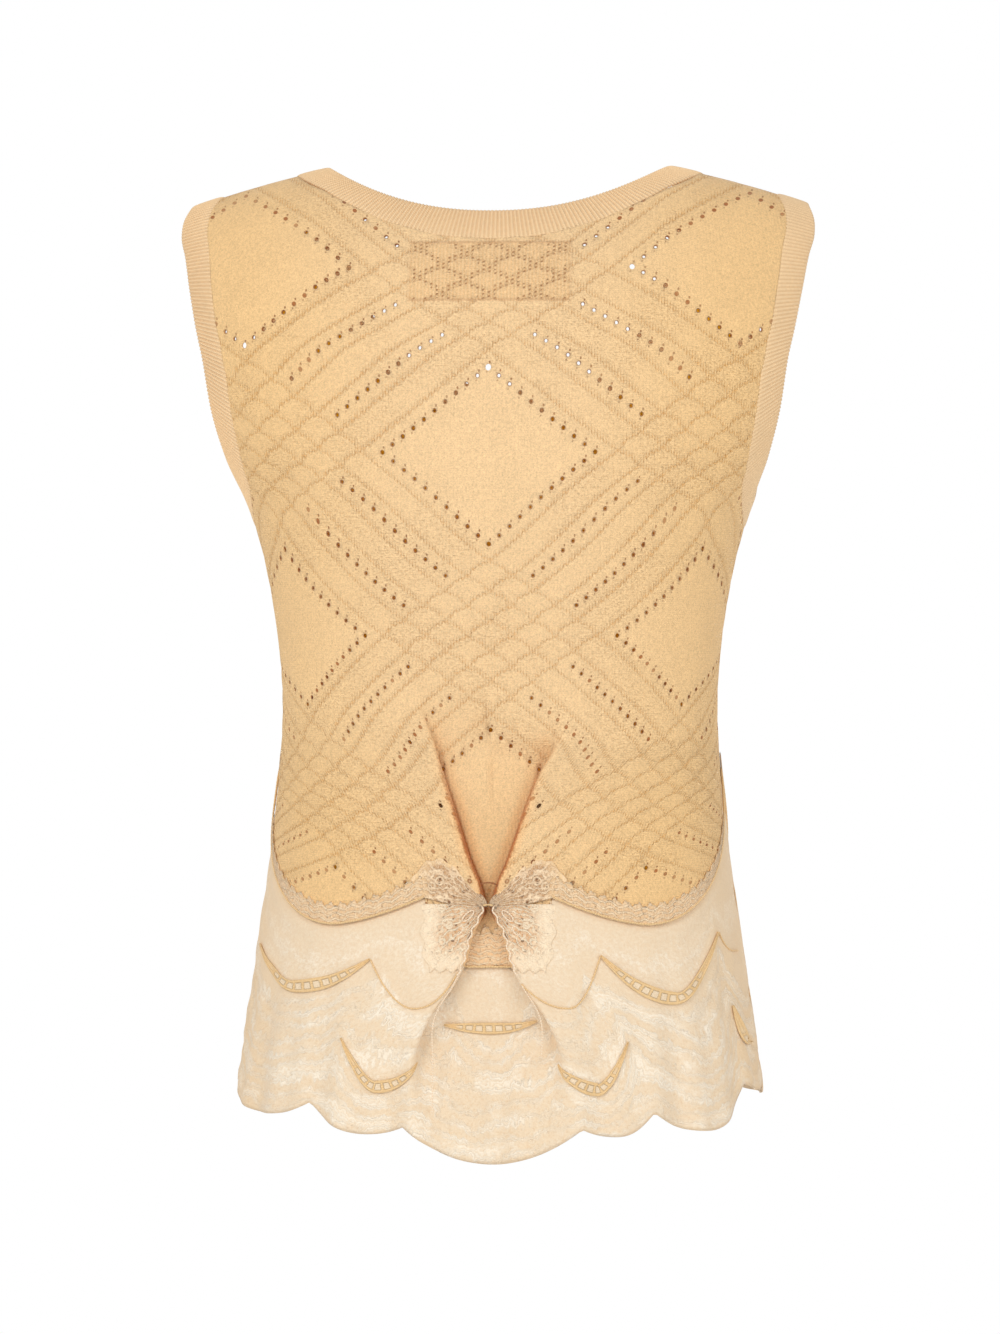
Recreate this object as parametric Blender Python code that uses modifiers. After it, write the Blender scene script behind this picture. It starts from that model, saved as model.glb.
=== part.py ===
"""Sleeveless knit top with a pinched back, rib bands at neck and armholes, and a scalloped lace hem.

The top is built as it is worn, on a general figure that is left out. Metres, +Z up. The origin lies
midway between the high points of the shoulders. The pinched back faces -Y and the front faces +Y.
Every piece is an open sheet that follows one body form, and gets its wall from a Solidify modifier.
"""

import math

import bpy
import numpy as np

# ---------------------------------------------------------------- driving dimensions
KNIT_WALL = 0.0014  # fine knit of both panels
RIB_WALL = 0.0022  # doubled rib of the bands
LACE_WALL = 0.0010  # lace hem, lace trim and label
SEAM_GAP = 0.0003  # between pieces that are sewn edge to edge
SIDE_GAP = 0.0005  # between front and back, whose walls lean towards each other inside
OVERLAY_GAP = 0.0004  # between a panel and what lies on it

SECTION_POWER = 2.4  # superellipse power of every level section
NECK_HALF = 0.102  # half width of the neck opening at the shoulders
NECK_BAND = 0.019  # width of the neckband along the shoulder
BACK_NECK_DROP = 0.030
BACK_NECK_BAND = 0.017  # width of the neckband at the centre back
FRONT_NECK_DROP = 0.125
FRONT_NECK_BAND = 0.018
NECK_CURVE = 2.2  # power of the curve of the back neck
FRONT_NECK_CURVE = 3.0
BACK_ROLL = 0.090  # drop over which the back turns over the shoulder
FRONT_ROLL = 0.070
SHOULDER_SLOPE = 0.21
SHOULDER_BEND = 0.80  # per metre: the shoulder falls faster towards its tip
SHOULDER_REACH = 0.180  # drop over which the courses lose the slope of the shoulder

ARMHOLE_DEPTH = 0.197  # from the level of the neck to the underarm
ARM_BAND = 0.018
BACK_ARM_CUT = math.radians(26)  # how far each armhole edge turns in from the side
FRONT_ARM_CUT = math.radians(41)
ARM_CURVE = 1.2  # power with which they turn in from the underarm

KNIT_HEM = -0.440  # level that the scallops of the knit hem are set from
HEM_CUSP = {"share": 0.192, "level": -0.4335}  # where the centre petal meets the side scallops
HEM_LOW = {"share": 0.480, "level": -0.4500}  # lowest point of each side scallop
HEM_SIDE_LEVEL = -0.360  # at the side seams
HEM_CURVE = {"inner": 1.6, "outer": 1.9}  # powers of the two halves of a side scallop
PETAL_DROP = 0.040  # of the centre petal of the back below its cusps
PETAL_CURVE = 7  # power of its outline: a flat bottom with round corners
FRONT_PETAL_DROP = 0.018  # of the flat one of the front
LACE_CURVE = 2.2  # power of the scallops of the lace hem
TRIM_WIDTH = 0.009
UPPER_WING = {"start": 0.006, "end": 0.0355, "top": -0.433, "crown": 0.019, "turn": 2.2, "foot": -0.441,
              "lift": 0.012}
LOWER_WING = {"off_fold": 0.004, "end": 0.031, "top": -0.4425, "height": 0.0275}
LABEL_WIDTH = 0.095
LABEL_LEVELS = (-0.050, -0.084)
LABEL_GAP = 0.0009
TURN_RADIUS = 0.0014  # of the cloth at each edge of the pleat

# level, half width, back depth, front depth of the body
BODY = (
    (0.000, 0.2020, 0.084, 0.070),
    (-0.008, 0.2058, 0.084, 0.072),
    (-0.018, 0.2065, 0.084, 0.074),
    (-0.034, 0.2030, 0.085, 0.077),
    (-0.060, 0.1987, 0.089, 0.083),
    (-0.103, 0.1910, 0.096, 0.096),
    (-0.150, 0.1780, 0.099, 0.112),
    (-0.175, 0.1655, 0.098, 0.119),
    (-0.197, 0.1520, 0.097, 0.124),
    (-0.223, 0.1434, 0.094, 0.127),
    (-0.259, 0.1356, 0.088, 0.122),
    (-0.319, 0.1296, 0.081, 0.109),
    (-0.367, 0.1320, 0.084, 0.108),
    (-0.415, 0.1380, 0.094, 0.110),
    (-0.463, 0.1446, 0.102, 0.113),
    (-0.511, 0.1518, 0.107, 0.115),
    (-0.560, 0.1585, 0.110, 0.117),
    (-0.620, 0.1640, 0.112, 0.118),
)

# level, reach from the centre to the fold edge, overlap of the fold, turn in degrees
PLEAT = (
    (-0.300, 0.0360, 0.0028, 1.0),
    (-0.312, 0.0355, 0.0028, 4.0),
    (-0.325, 0.0345, 0.0030, 70.0),
    (-0.338, 0.0318, 0.0040, 140.0),
    (-0.356, 0.0276, 0.0080, 170.0),
    (-0.386, 0.0170, 0.0157, 174.0),
    (-0.411, 0.0087, 0.0200, 176.0),
    (-0.430, 0.0024, 0.0222, 176.0),
    (-0.440, 0.0022, 0.0225, 176.0),
    (-0.454, 0.0085, 0.0215, 176.0),
    (-0.472, 0.0135, 0.0200, 176.0),
    (-0.486, 0.0204, 0.0165, 174.0),
    (-0.499, 0.0285, 0.0120, 168.0),
    (-0.532, 0.0310, 0.0080, 130.0),
    (-0.555, 0.0312, 0.0050, 80.0),
    (-0.600, 0.0312, 0.0030, 45.0),
)

# scallops of the lace hem from the left side seam to the right one, left being -X:
# share of the quarter section and level where it starts, then those of its lowest point
BACK_LACE_HEM = (
    (-1.000, -0.5450, -0.960, -0.5465),
    (-0.900, -0.5440, -0.640, -0.5620),
    (-0.493, -0.5540, -0.330, -0.5715),
    (-0.223, -0.5670, 0.010, -0.5880),
    (0.251, -0.5680, 0.345, -0.5725),
    (0.444, -0.5590, 0.610, -0.5705),
    (0.770, -0.5450, 0.890, -0.5500),
    (1.000, -0.5450, 1.000, -0.5450),
)
FRONT_LACE_HEM = (
    (-1.000, -0.5450, -0.840, -0.5620),
    (-0.660, -0.5520, -0.440, -0.5720),
    (-0.220, -0.5620, 0.000, -0.5840),
    (0.220, -0.5620, 0.440, -0.5720),
    (0.660, -0.5520, 0.840, -0.5620),
    (1.000, -0.5450, 1.000, -0.5450),
)

# ---------------------------------------------------------------- how finely the sheets are divided
NECK_STEPS = 16  # half of the back neck
SHOULDER_STEPS = 4  # back shoulder, between the bands
UNDER_STEPS = 3  # half of the cloth that lies under the pleat
TURN_STEPS = 4  # each turn of the pleat
PETAL_STEPS = 2  # from the pleat to the cusp beside it
FRONT_PETAL_STEPS = 4  # from the centre front to the cusp
FRONT_SIDE_STEPS = 9  # from the cusp to the side seam
ARM_DROPS = (0.0, 0.005, 0.014, 0.031, 0.055, 0.086, 0.122, 0.158, 0.186, 0.203, 0.2122)
WAIST_DROPS = (0.245, 0.275, 0.302, 0.320, 0.333, 0.348, 0.370, 0.395)
FRONT_NECK_DROPS = (0.0, 0.005, 0.014, 0.030, 0.052, 0.078, 0.103, 0.123, 0.135, 0.1405)
FRONT_UNDER_DROPS = (0.162, 0.183, 0.201, 0.2115)  # from the front neck to the underarm
FRONT_WAIST_DROPS = (0.245, 0.280, 0.315, 0.350, 0.385)
FADE_DROP = 0.318  # where the rows lose the shape of the neck
RAMP_DROP = 0.335  # where they start to take the shape of the hem
CALM_LEVELS = (-0.275, -0.138)  # between these the inner columns pass the underarm without a jog
LACE_ROWS = 5

BACK, FRONT = -1, 1
ARM_SEAM_DEPTH = ARMHOLE_DEPTH + ARM_BAND
TURN_LENGTH = math.pi * TURN_RADIUS
TABLE_LEVELS = np.linspace(0.0, -0.620, 125)
TABLE_ANGLES = np.linspace(0.0, math.pi / 2, 181)
TABLE_SHARES = np.linspace(0.0, 1.0, 121)


# ---------------------------------------------------------------- body form
def column(table, index):
    """One named column of a table, as an array."""
    return np.array([row[index] for row in table])


def smooth(level, levels, values):
    """Cubic Hermite curve through a table that runs downwards, with its mean slope at each row."""
    xs = np.asarray(levels)[::-1]
    ys = np.asarray(values)[::-1]
    slopes = np.gradient(ys, xs)
    i = np.clip(np.searchsorted(xs, level) - 1, 0, len(xs) - 2)
    run = xs[i + 1] - xs[i]
    t = np.clip((level - xs[i]) / run, 0.0, 1.0)
    start = (2 * t**3 - 3 * t**2 + 1) * ys[i] + (t**3 - 2 * t**2 + t) * run * slopes[i]
    end = (3 * t**2 - 2 * t**3) * ys[i + 1] + (t**3 - t**2) * run * slopes[i + 1]
    return start + end


def body_size(level, side):
    """Half width and depth of the body at a level. The depth closes to 0 at the shoulder line."""
    levels = column(BODY, 0)
    half = smooth(level, levels, column(BODY, 1))
    depth = smooth(level, levels, column(BODY, 2 if side == BACK else 3))
    roll = BACK_ROLL if side == BACK else FRONT_ROLL
    left = np.clip(1.0 + level / roll, 0.0, 1.0)
    return half, depth * np.sqrt(1.0 - left**2)


def body_point(angle, level, side):
    """Point of the superellipse section at a level: angle 0 is the centre line, 90 degrees the side."""
    half, depth = body_size(level, side)
    power = 2.0 / SECTION_POWER
    x = half * np.sign(angle) * np.abs(np.sin(angle)) ** power
    y = side * depth * np.abs(np.cos(angle)) ** power
    over = np.maximum(np.abs(x) - NECK_HALF, 0.0)
    fall = SHOULDER_SLOPE * over + SHOULDER_BEND * over**2
    slope_left = np.cos(np.clip(-level / SHOULDER_REACH, 0.0, 1.0) * math.pi / 2) ** 2
    return np.stack([x, y, level - fall * slope_left], axis=-1)


def section_tables(side):
    """At each table level: the quarter section's length, angles at even shares of it, and the reverse."""
    levels, angles = np.meshgrid(TABLE_LEVELS, TABLE_ANGLES, indexing="ij")
    points = body_point(angles, levels, side)[..., :2]
    steps = np.linalg.norm(np.diff(points, axis=1), axis=-1)
    arcs = np.concatenate([np.zeros((len(levels), 1)), np.cumsum(steps, axis=1)], axis=1)
    shares = arcs / arcs[:, -1:]
    turned = [np.interp(TABLE_SHARES, share, TABLE_ANGLES) for share in shares]
    return {"length": arcs[:, -1], "angle": np.array(turned), "share": shares}


SECTIONS = {side: section_tables(side) for side in (BACK, FRONT)}


def lookup(table, level, part):
    """Value of a table at a level and at a part, from 0 to 1, of its row. Linear between entries."""
    down = np.clip(level / TABLE_LEVELS[-1], 0.0, 1.0) * (table.shape[0] - 1)
    across = np.clip(part, 0.0, 1.0) * (table.shape[1] - 1)
    i = np.minimum(np.floor(down).astype(int), table.shape[0] - 2)
    j = np.minimum(np.floor(across).astype(int), table.shape[1] - 2)
    u = down - i
    v = across - j
    upper = table[i, j] * (1 - v) + table[i, j + 1] * v
    lower = table[i + 1, j] * (1 - v) + table[i + 1, j + 1] * v
    return upper * (1 - u) + lower * u


def quarter(level, side):
    """Length of the section from the centre line to the side seam."""
    return np.interp(-level, -TABLE_LEVELS, SECTIONS[side]["length"])


def angle_at(arc, level, side):
    """Section angle at a signed distance along the cloth from the centre line."""
    return np.sign(arc) * lookup(SECTIONS[side]["angle"], level, np.abs(arc) / quarter(level, side))


def arc_at(angle, level, side):
    """Distance along the cloth from the centre line to a section angle of 0 to 90 degrees."""
    return lookup(SECTIONS[side]["share"], level, angle / (math.pi / 2)) * quarter(level, side)


def arc_of_x(x, level, side):
    """Distance along the cloth from the centre line to the point at x."""
    half = body_size(level, side)[0]
    return arc_at(np.arcsin(np.clip(x / half, 0.0, 1.0) ** (SECTION_POWER / 2.0)), level, side)


def on_body(arc, level, side):
    """Point of the body form at a signed distance from the centre line, along its section."""
    return body_point(angle_at(arc, level, side), level, side)


def outward(arc, level, side):
    """Unit normal of the body form, from the cross product of its two directions."""
    step = 0.0005
    low = np.minimum(level, -step)
    across = on_body(arc + step, low, side) - on_body(arc - step, low, side)
    down = on_body(arc, low - step, side) - on_body(arc, low + step, side)
    normal = np.cross(across, down) * side
    return normal / np.linalg.norm(normal, axis=-1, keepdims=True)


# ---------------------------------------------------------------- pleat of the centre back
def pleat_sizes(level):
    """Where the first turn starts, the flat run between the turns, and the turn itself, at a level."""
    levels = column(PLEAT, 0)
    reach, overlap, turn = (smooth(level, levels, column(PLEAT, i)) for i in (1, 2, 3))
    flat_run = np.maximum(overlap - 2 * TURN_RADIUS, 0.0)
    start = reach + flat_run + TURN_RADIUS
    return start, flat_run, np.radians(np.maximum(turn, 0.5))


def pleat(flat, level):
    """Section of the pleat. flat is the distance from the centre back, measured along the cloth.

    The cloth's direction turns from 0 to the full turn and back to 0. The place along the body is
    the integral of the cosine of that direction, and the depth under the body that of its sine.
    """
    start, flat_run, turn = pleat_sizes(level)
    bend = TURN_LENGTH / turn
    s = np.abs(flat)
    first = np.clip(s - start, 0.0, TURN_LENGTH)
    second = np.clip(s - start - TURN_LENGTH, 0.0, flat_run)
    third = np.clip(s - start - TURN_LENGTH - flat_run, 0.0, TURN_LENGTH)
    rest = np.maximum(s - start - 2 * TURN_LENGTH - flat_run, 0.0)
    left = turn - third / bend
    along = np.minimum(s, start) + bend * np.sin(first / bend) + second * np.cos(turn)
    along = along + bend * (np.sin(turn) - np.sin(left)) + rest
    fall = bend * (1 - np.cos(first / bend)) + second * np.sin(turn) + bend * (np.cos(left) - np.cos(turn))
    whole = 2 * bend * (1 - np.cos(turn)) + flat_run * np.sin(turn)
    return np.sign(flat) * along, whole - fall


def hidden(level):
    """Width of cloth that the pleat takes up on each side."""
    start, flat_run, _ = pleat_sizes(level)
    end = start + 2 * TURN_LENGTH + flat_run
    return end - pleat(end, level)[0]


def cloth(flat, level, side, lift=0.0):
    """Point of the back or front at a place on the flat cloth and a level, moved out by lift."""
    arc, depth = pleat(flat, level) if side == BACK else (flat, 0.0 * flat)
    return on_body(arc, level, side) + outward(arc, level, side) * (lift - depth)[..., None]


# ---------------------------------------------------------------- edges
def neck_size(side, inward):
    """Half width and drop of a line round the neck: inward 0 is the free edge, 1 the seam of the band."""
    drop, band = (BACK_NECK_DROP, BACK_NECK_BAND) if side == BACK else (FRONT_NECK_DROP, FRONT_NECK_BAND)
    return NECK_HALF + NECK_BAND * inward, drop + band * inward


def back_neck(sine, inward):
    """Arc and level of a line round the back neck, where x is sine times its half width."""
    half, drop = neck_size(BACK, inward)
    level = -drop * (1.0 - sine**NECK_CURVE)
    return arc_of_x(half * sine, level, BACK), level


def front_neck(depth, inward):
    """Arc and level of a line round the front neck, where the level is depth times its drop."""
    half, drop = neck_size(FRONT, inward)
    level = -drop * depth
    return arc_of_x(half * (1.0 - depth**2) ** (1 / FRONT_NECK_CURVE), level, FRONT), level


def armhole(turn, side, inward):
    """Arc and level of a line round the armhole: turn is 0 at the underarm and 180 degrees at the shoulder.

    inward is 0 on the free edge of the band and 1 on the seam that joins the band to the panel.
    """
    low = np.sin(np.minimum(turn, math.pi / 2))
    cut = BACK_ARM_CUT * low**ARM_CURVE
    if side == FRONT:
        cut = cut + (FRONT_ARM_CUT - BACK_ARM_CUT) * np.abs(np.sin(turn)) ** ARM_CURVE
    level = -(ARMHOLE_DEPTH + ARM_BAND * inward) * (1.0 + np.cos(turn)) / 2.0
    return arc_at(math.pi / 2 - cut, level, side) - ARM_BAND * inward * low, level


def arm_turn(level):
    """Turn round the armhole at which its seam passes a level."""
    return np.arccos(np.clip(-2.0 * level / ARM_SEAM_DEPTH - 1.0, -1.0, 1.0))


def side_arc(level, side):
    """Distance from the centre line to the edge of a panel: the armhole seam, or the side seam."""
    edge = armhole(arm_turn(level), side, 1.0)[0]
    return np.where(level > -ARM_SEAM_DEPTH, edge, quarter(level, side))


def calmed(flat, level, side):
    """Flat places whose inner columns run straight past the underarm, while the edge column follows it."""
    edge = side_arc(level, side)
    straight = np.interp(level, CALM_LEVELS, side_arc(np.array(CALM_LEVELS), side))
    inside = (level > CALM_LEVELS[0]) & (level < CALM_LEVELS[1])
    share = flat / edge
    return flat - np.where(inside, (edge - straight) * (share - share**5), 0.0)


def scallops(share, table):
    """Level of a scalloped hem: each scallop falls from its start to its lowest point and rises again."""
    starts, tops, lows, bottoms = (column(table, k) for k in range(4))
    i = np.clip(np.searchsorted(starts, share, side="right") - 1, 0, len(table) - 2)
    falling = np.clip((lows[i] - share) / (lows[i] - starts[i]), 0.0, 1.0)
    rising = np.clip((share - lows[i]) / (starts[i + 1] - lows[i]), 0.0, 1.0)
    bottom = bottoms[i]
    return bottom + (tops[i] - bottom) * falling**LACE_CURVE + (tops[i + 1] - bottom) * rising**LACE_CURVE


def knit_hem(arc, flat, side):
    """Level of the knit hem: a centre petal, deep at the back, and one long scallop to each side seam."""
    share = np.abs(arc) / quarter(KNIT_HEM, side)
    cusp, low = HEM_CUSP["share"], HEM_LOW["share"]
    inner = np.clip((low - share) / (low - cusp), 0.0, 1.0) ** HEM_CURVE["inner"]
    outer = np.clip((share - low) / (1.0 - low), 0.0, 1.0) ** HEM_CURVE["outer"]
    inner = inner * (HEM_CUSP["level"] - HEM_LOW["level"])
    outer = outer * (HEM_SIDE_LEVEL - HEM_LOW["level"])
    sides = HEM_LOW["level"] + inner + outer
    if side == FRONT:
        petal = HEM_CUSP["level"] - FRONT_PETAL_DROP * (1.0 - (share / cusp) ** 2)
        return np.where(share < cusp, petal, sides)
    out = np.abs(flat) / (cusp * quarter(KNIT_HEM, BACK) + hidden(KNIT_HEM))
    petal = HEM_CUSP["level"] - PETAL_DROP * np.sqrt(np.clip(1.0 - out**PETAL_CURVE, 0.0, 1.0))
    return np.where(out < 1.0, petal, sides)


# ---------------------------------------------------------------- grids of flat places and levels
def back_places(level, steps):
    """Flat places of the columns of the right half of the back, from the centre to the side."""
    start, flat_run, _ = pleat_sizes(level)
    whole = side_arc(level, BACK) + hidden(level)
    cusp = HEM_CUSP["share"] * quarter(level, BACK) + hidden(level)
    side_steps = steps - UNDER_STEPS - 2 * TURN_STEPS - 1 - PETAL_STEPS
    end = start + 2 * TURN_LENGTH + flat_run
    cusp = np.maximum(cusp, end + 2 * PETAL_STEPS * TURN_LENGTH)
    stops = (0.0 * start, start, start + TURN_LENGTH, end - TURN_LENGTH, end, cusp, whole)
    counts = (UNDER_STEPS, TURN_STEPS, 1, TURN_STEPS, PETAL_STEPS, side_steps)
    places = [stops[0]]
    for low, high, count in zip(stops[:-1], stops[1:], counts):
        places += [low + (high - low) * k / count for k in range(1, count + 1)]
    return np.stack(places, axis=-1)


def own_column(table):
    """Entry k of column k: the columns are the last but one index of the table."""
    k = np.arange(table.shape[-2])
    return table[..., k, k]


def to_hem(drops, top, hem, fade_drop):
    """Levels of all rows: they fade from the top edge's shape to level rows, and then take the hem's."""
    drops = np.array(drops)[:, None]
    fade = np.clip(1.0 - drops / fade_drop, 0.0, 1.0)
    ramp = np.clip((drops - RAMP_DROP) / (-KNIT_HEM - RAMP_DROP), 0.0, 1.0)
    level = -drops + top * fade + (hem - KNIT_HEM) * ramp
    level = np.concatenate([level, [hem + TRIM_WIDTH], [hem]])
    return level, np.concatenate([fade, np.zeros((2, fade.shape[1]))])


def back_half():
    """Flat places and levels of the right half of the back knit, rows from the top edge to the hem."""
    arc, top = back_neck(np.sin(np.linspace(0.0, math.pi / 2, NECK_STEPS + 1)), 1.0)
    shoulder = np.linspace(arc[-1], side_arc(0.0, BACK), SHOULDER_STEPS + 1)[1:]
    arc = np.concatenate([arc, shoulder])
    top = np.concatenate([top, np.zeros(SHOULDER_STEPS)])
    shares = arc / side_arc(top, BACK)
    steps = NECK_STEPS + SHOULDER_STEPS
    flat = own_column(back_places(np.full(steps + 1, KNIT_HEM), steps))
    hem = knit_hem(pleat(flat, np.full(steps + 1, KNIT_HEM))[0], flat, BACK)
    level, fade = to_hem((*ARM_DROPS, ARM_SEAM_DEPTH, *WAIST_DROPS), top, hem, FADE_DROP)
    whole = side_arc(level, BACK) + hidden(level)
    folded = own_column(back_places(level, steps))
    return calmed(fade * shares * whole + (1.0 - fade) * folded, level, BACK), level


def front_shares():
    """Shares of the width of the front at which its columns lie. One of them is at the cusp of the hem."""
    petal = np.linspace(0.0, HEM_CUSP["share"], FRONT_PETAL_STEPS + 1)
    return np.concatenate([petal, np.linspace(HEM_CUSP["share"], 1.0, FRONT_SIDE_STEPS + 1)[1:]])


def front_half():
    """Flat places and levels of the right half of the front knit. Its upper rows start at the neck seam."""
    drop = neck_size(FRONT, 1.0)[1]
    share = front_shares()
    width = quarter(KNIT_HEM, FRONT)
    hem = knit_hem(share * width, share * width, FRONT)
    drops = (*FRONT_NECK_DROPS, drop, *FRONT_UNDER_DROPS, ARM_SEAM_DEPTH, *FRONT_WAIST_DROPS)
    level, _ = to_hem(drops, np.zeros(len(share)), hem, FADE_DROP)
    neck = front_neck(np.minimum(-level / drop, 1.0), 1.0)[0]
    edge = side_arc(level, FRONT)
    return calmed(neck + (edge - neck) * share, level, FRONT), level


def both(half, sign=1.0):
    """A grid of the right half, joined to its mirror image. sign is -1 for distances from the centre."""
    return np.concatenate([sign * half[:, :0:-1], half], axis=1)


# ---------------------------------------------------------------- objects
def fresh_scene():
    """Remove every object, and make the collection that holds the pieces."""
    for item in list(bpy.data.objects):
        bpy.data.objects.remove(item, do_unlink=True)
    pieces = bpy.data.collections.new("knit_top")
    bpy.context.scene.collection.children.link(pieces)
    return pieces


def finish(name, rgb, roughness):
    """Principled material of one piece."""
    material = bpy.data.materials.new(name)
    material.use_nodes = True
    shader = material.node_tree.nodes["Principled BSDF"]
    shader.inputs["Base Color"].default_value = (*rgb, 1.0)
    shader.inputs["Roughness"].default_value = roughness
    shader.inputs["Metallic"].default_value = 0.0
    return material


def sheet(pieces, name, points, wall, rgb, closed=False, mirrored=False):
    """Open sheet through a grid of points, with its wall from Solidify. Rows run down, columns run along +X.

    closed joins the last column to the first one, and mirrored adds the other half over the plane x = 0.
    """
    rows, columns = points.shape[:2]
    index = np.arange(rows * columns).reshape(rows, columns)
    if closed:
        index = np.concatenate([index, index[:, :1]], axis=1)
    corners = (index[:-1, :-1], index[1:, :-1], index[1:, 1:], index[:-1, 1:])
    faces = np.stack(corners, axis=-1).reshape(-1, 4)
    mesh = bpy.data.meshes.new(name)
    mesh.from_pydata(points.reshape(-1, 3).tolist(), [], faces.tolist())
    mesh.materials.append(finish(name, rgb, 0.85))
    mesh.shade_smooth()
    piece = bpy.data.objects.new(name, mesh)
    pieces.objects.link(piece)
    if mirrored:
        mirror = piece.modifiers.new("other_half", "MIRROR")
        mirror.merge_threshold = 0.0001
    solidify = piece.modifiers.new("wall", "SOLIDIFY")
    solidify.thickness = wall
    solidify.offset = 0.0
    solidify.use_even_offset = True
    return piece


def shifted(points, side):
    """Points moved off the plane of the side and shoulder seams by half of their gap."""
    return points + np.array([0.0, side * SIDE_GAP / 2, 0.0])


# ---------------------------------------------------------------- pieces
def lift_over(wall, under_wall=KNIT_WALL, gap=OVERLAY_GAP):
    """Distance from the middle of a panel to the middle of what lies on it."""
    return under_wall / 2 + gap + wall / 2


def knit_panels(pieces):
    """Back with its pleat, and plain front with a scoop neck."""
    flat, level = back_half()
    back = cloth(both(flat, -1.0), both(level), BACK)
    sheet(pieces, "back_panel", shifted(back, BACK), KNIT_WALL, (0.86, 0.62, 0.37))
    front = cloth(*front_half(), FRONT)
    sheet(pieces, "front_panel", shifted(front, FRONT), KNIT_WALL, (0.84, 0.60, 0.36), mirrored=True)


def lace_hem(pieces, name, side, table):
    """Scalloped lace that is sewn to the knit hem, on the same form, with its part of the pleat."""
    half_level = back_half()[1] if side == BACK else front_half()[1]
    steps = half_level.shape[1] - 1
    middle_level = table[len(table) // 2][1]
    if side == BACK:
        levels = np.full(steps + 1, middle_level)
        right = pleat(own_column(back_places(levels, steps)), levels)[0] / quarter(middle_level, BACK)
    else:
        right = front_shares()
    share = both(right[None], -1.0)[0]
    top = both(half_level[-1:])[0] - SEAM_GAP
    level = top + (scallops(share, table) - top) * np.linspace(0.0, 1.0, LACE_ROWS + 1)[:, None]
    if side == BACK:
        left_flat = own_column(back_places(level[:, steps::-1], steps))
        right_flat = own_column(back_places(level[:, steps:], steps))
        flat = np.concatenate([-left_flat[:, :0:-1], right_flat], axis=1)
    else:
        flat = share * quarter(level, FRONT)
    sheet(pieces, name, shifted(cloth(flat, level, side), side), LACE_WALL, (0.90, 0.77, 0.60))


def neckband(pieces):
    """Rib band round the neck opening, from its free edge to its seam."""
    sines = np.sin(np.linspace(0.0, math.pi / 2, NECK_STEPS + 1))
    drop = neck_size(FRONT, 1.0)[1]
    depths = np.array([*FRONT_NECK_DROPS[1:], drop]) / drop
    rows = []
    for inward in (0.0, 0.5, 1.0 - SEAM_GAP / BACK_NECK_BAND):
        back = on_body(*back_neck(sines, inward), BACK)
        front = on_body(*front_neck(depths, inward), FRONT)
        right = np.concatenate([back, front])
        left = right[-2:0:-1] * np.array([-1.0, 1.0, 1.0])
        rows.append(np.concatenate([right, left]))
    sheet(pieces, "neckband", np.array(rows), RIB_WALL, (0.82, 0.60, 0.36), closed=True)


def armhole_bands(pieces):
    """Rib band round each armhole, up the back from the underarm to the shoulder and down the front."""
    back = arm_turn(-np.array([ARM_SEAM_DEPTH, *ARM_DROPS[::-1]]))
    front = arm_turn(-np.array([*FRONT_NECK_DROPS[1:], neck_size(FRONT, 1.0)[1], *FRONT_UNDER_DROPS]))
    rows = []
    for inward in (0.0, 0.5, 1.0 - SEAM_GAP / ARM_BAND):
        rising = on_body(*armhole(back, BACK, inward), BACK)
        falling = on_body(*armhole(front, FRONT, inward), FRONT)
        rows.append(np.concatenate([rising, falling]))
    right = np.array(rows)
    sheet(pieces, "armhole_band_right", right, RIB_WALL, (0.80, 0.58, 0.35), closed=True)
    left = right * np.array([-1.0, 1.0, 1.0])
    sheet(pieces, "armhole_band_left", left, RIB_WALL, (0.80, 0.58, 0.35), closed=True)


def hem_trims(pieces):
    """Lace trim on the last of the knit: one strip for each side scallop, the petal and the front."""
    rgb = (0.80, 0.58, 0.40)
    flat, level = back_half()
    lift = lift_over(LACE_WALL)
    first = UNDER_STEPS + 2 * TURN_STEPS + 1 + PETAL_STEPS
    side = shifted(cloth(flat[-2:, first:], level[-2:, first:], BACK, lift), BACK)
    sheet(pieces, "hem_trim_right", side, LACE_WALL, rgb)
    sheet(pieces, "hem_trim_left", side * np.array([-1.0, 1.0, 1.0]), LACE_WALL, rgb)
    petal = cloth(both(flat[-2:, :2], -1.0), both(level[-2:, :2]), BACK, lift)
    sheet(pieces, "hem_trim_petal", shifted(petal, BACK), LACE_WALL, rgb)
    flat, level = front_half()
    front = cloth(flat[-2:], level[-2:], FRONT, lift)
    sheet(pieces, "hem_trim_front", shifted(front, FRONT), LACE_WALL, rgb, mirrored=True)


def pinch_wings(pieces):
    """Lace wings that cover the stitches of the pinch: an upper and a lower one on each side."""
    lift = lift_over(LACE_WALL)
    out, down = np.meshgrid(np.linspace(0.0, 1.0, 6), np.linspace(0.0, 1.0, 4))
    wing = UPPER_WING
    arc = wing["start"] + (wing["end"] - wing["start"]) * out
    upper = wing["top"] + wing["crown"] * np.sin(wing["turn"] * out)
    foot = wing["foot"] + wing["lift"] * out**2
    wings = {"upper": (arc, upper + (foot - upper) * down)}
    wing = LOWER_WING
    level = wing["top"] - wing["height"] * down
    inner = smooth(level, column(PLEAT, 0), column(PLEAT, 1)) + wing["off_fold"]
    wings["lower"] = (inner + (wing["end"] - inner) * out, level)
    for name, (arc, level) in wings.items():
        points = on_body(arc, level, BACK) + outward(arc, level, BACK) * lift
        points = shifted(points, BACK)
        sheet(pieces, f"wing_{name}_right", points, LACE_WALL, (0.78, 0.54, 0.36))
        sheet(pieces, f"wing_{name}_left", points * np.array([-1.0, 1.0, 1.0]), LACE_WALL, (0.78, 0.54, 0.36))


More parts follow.
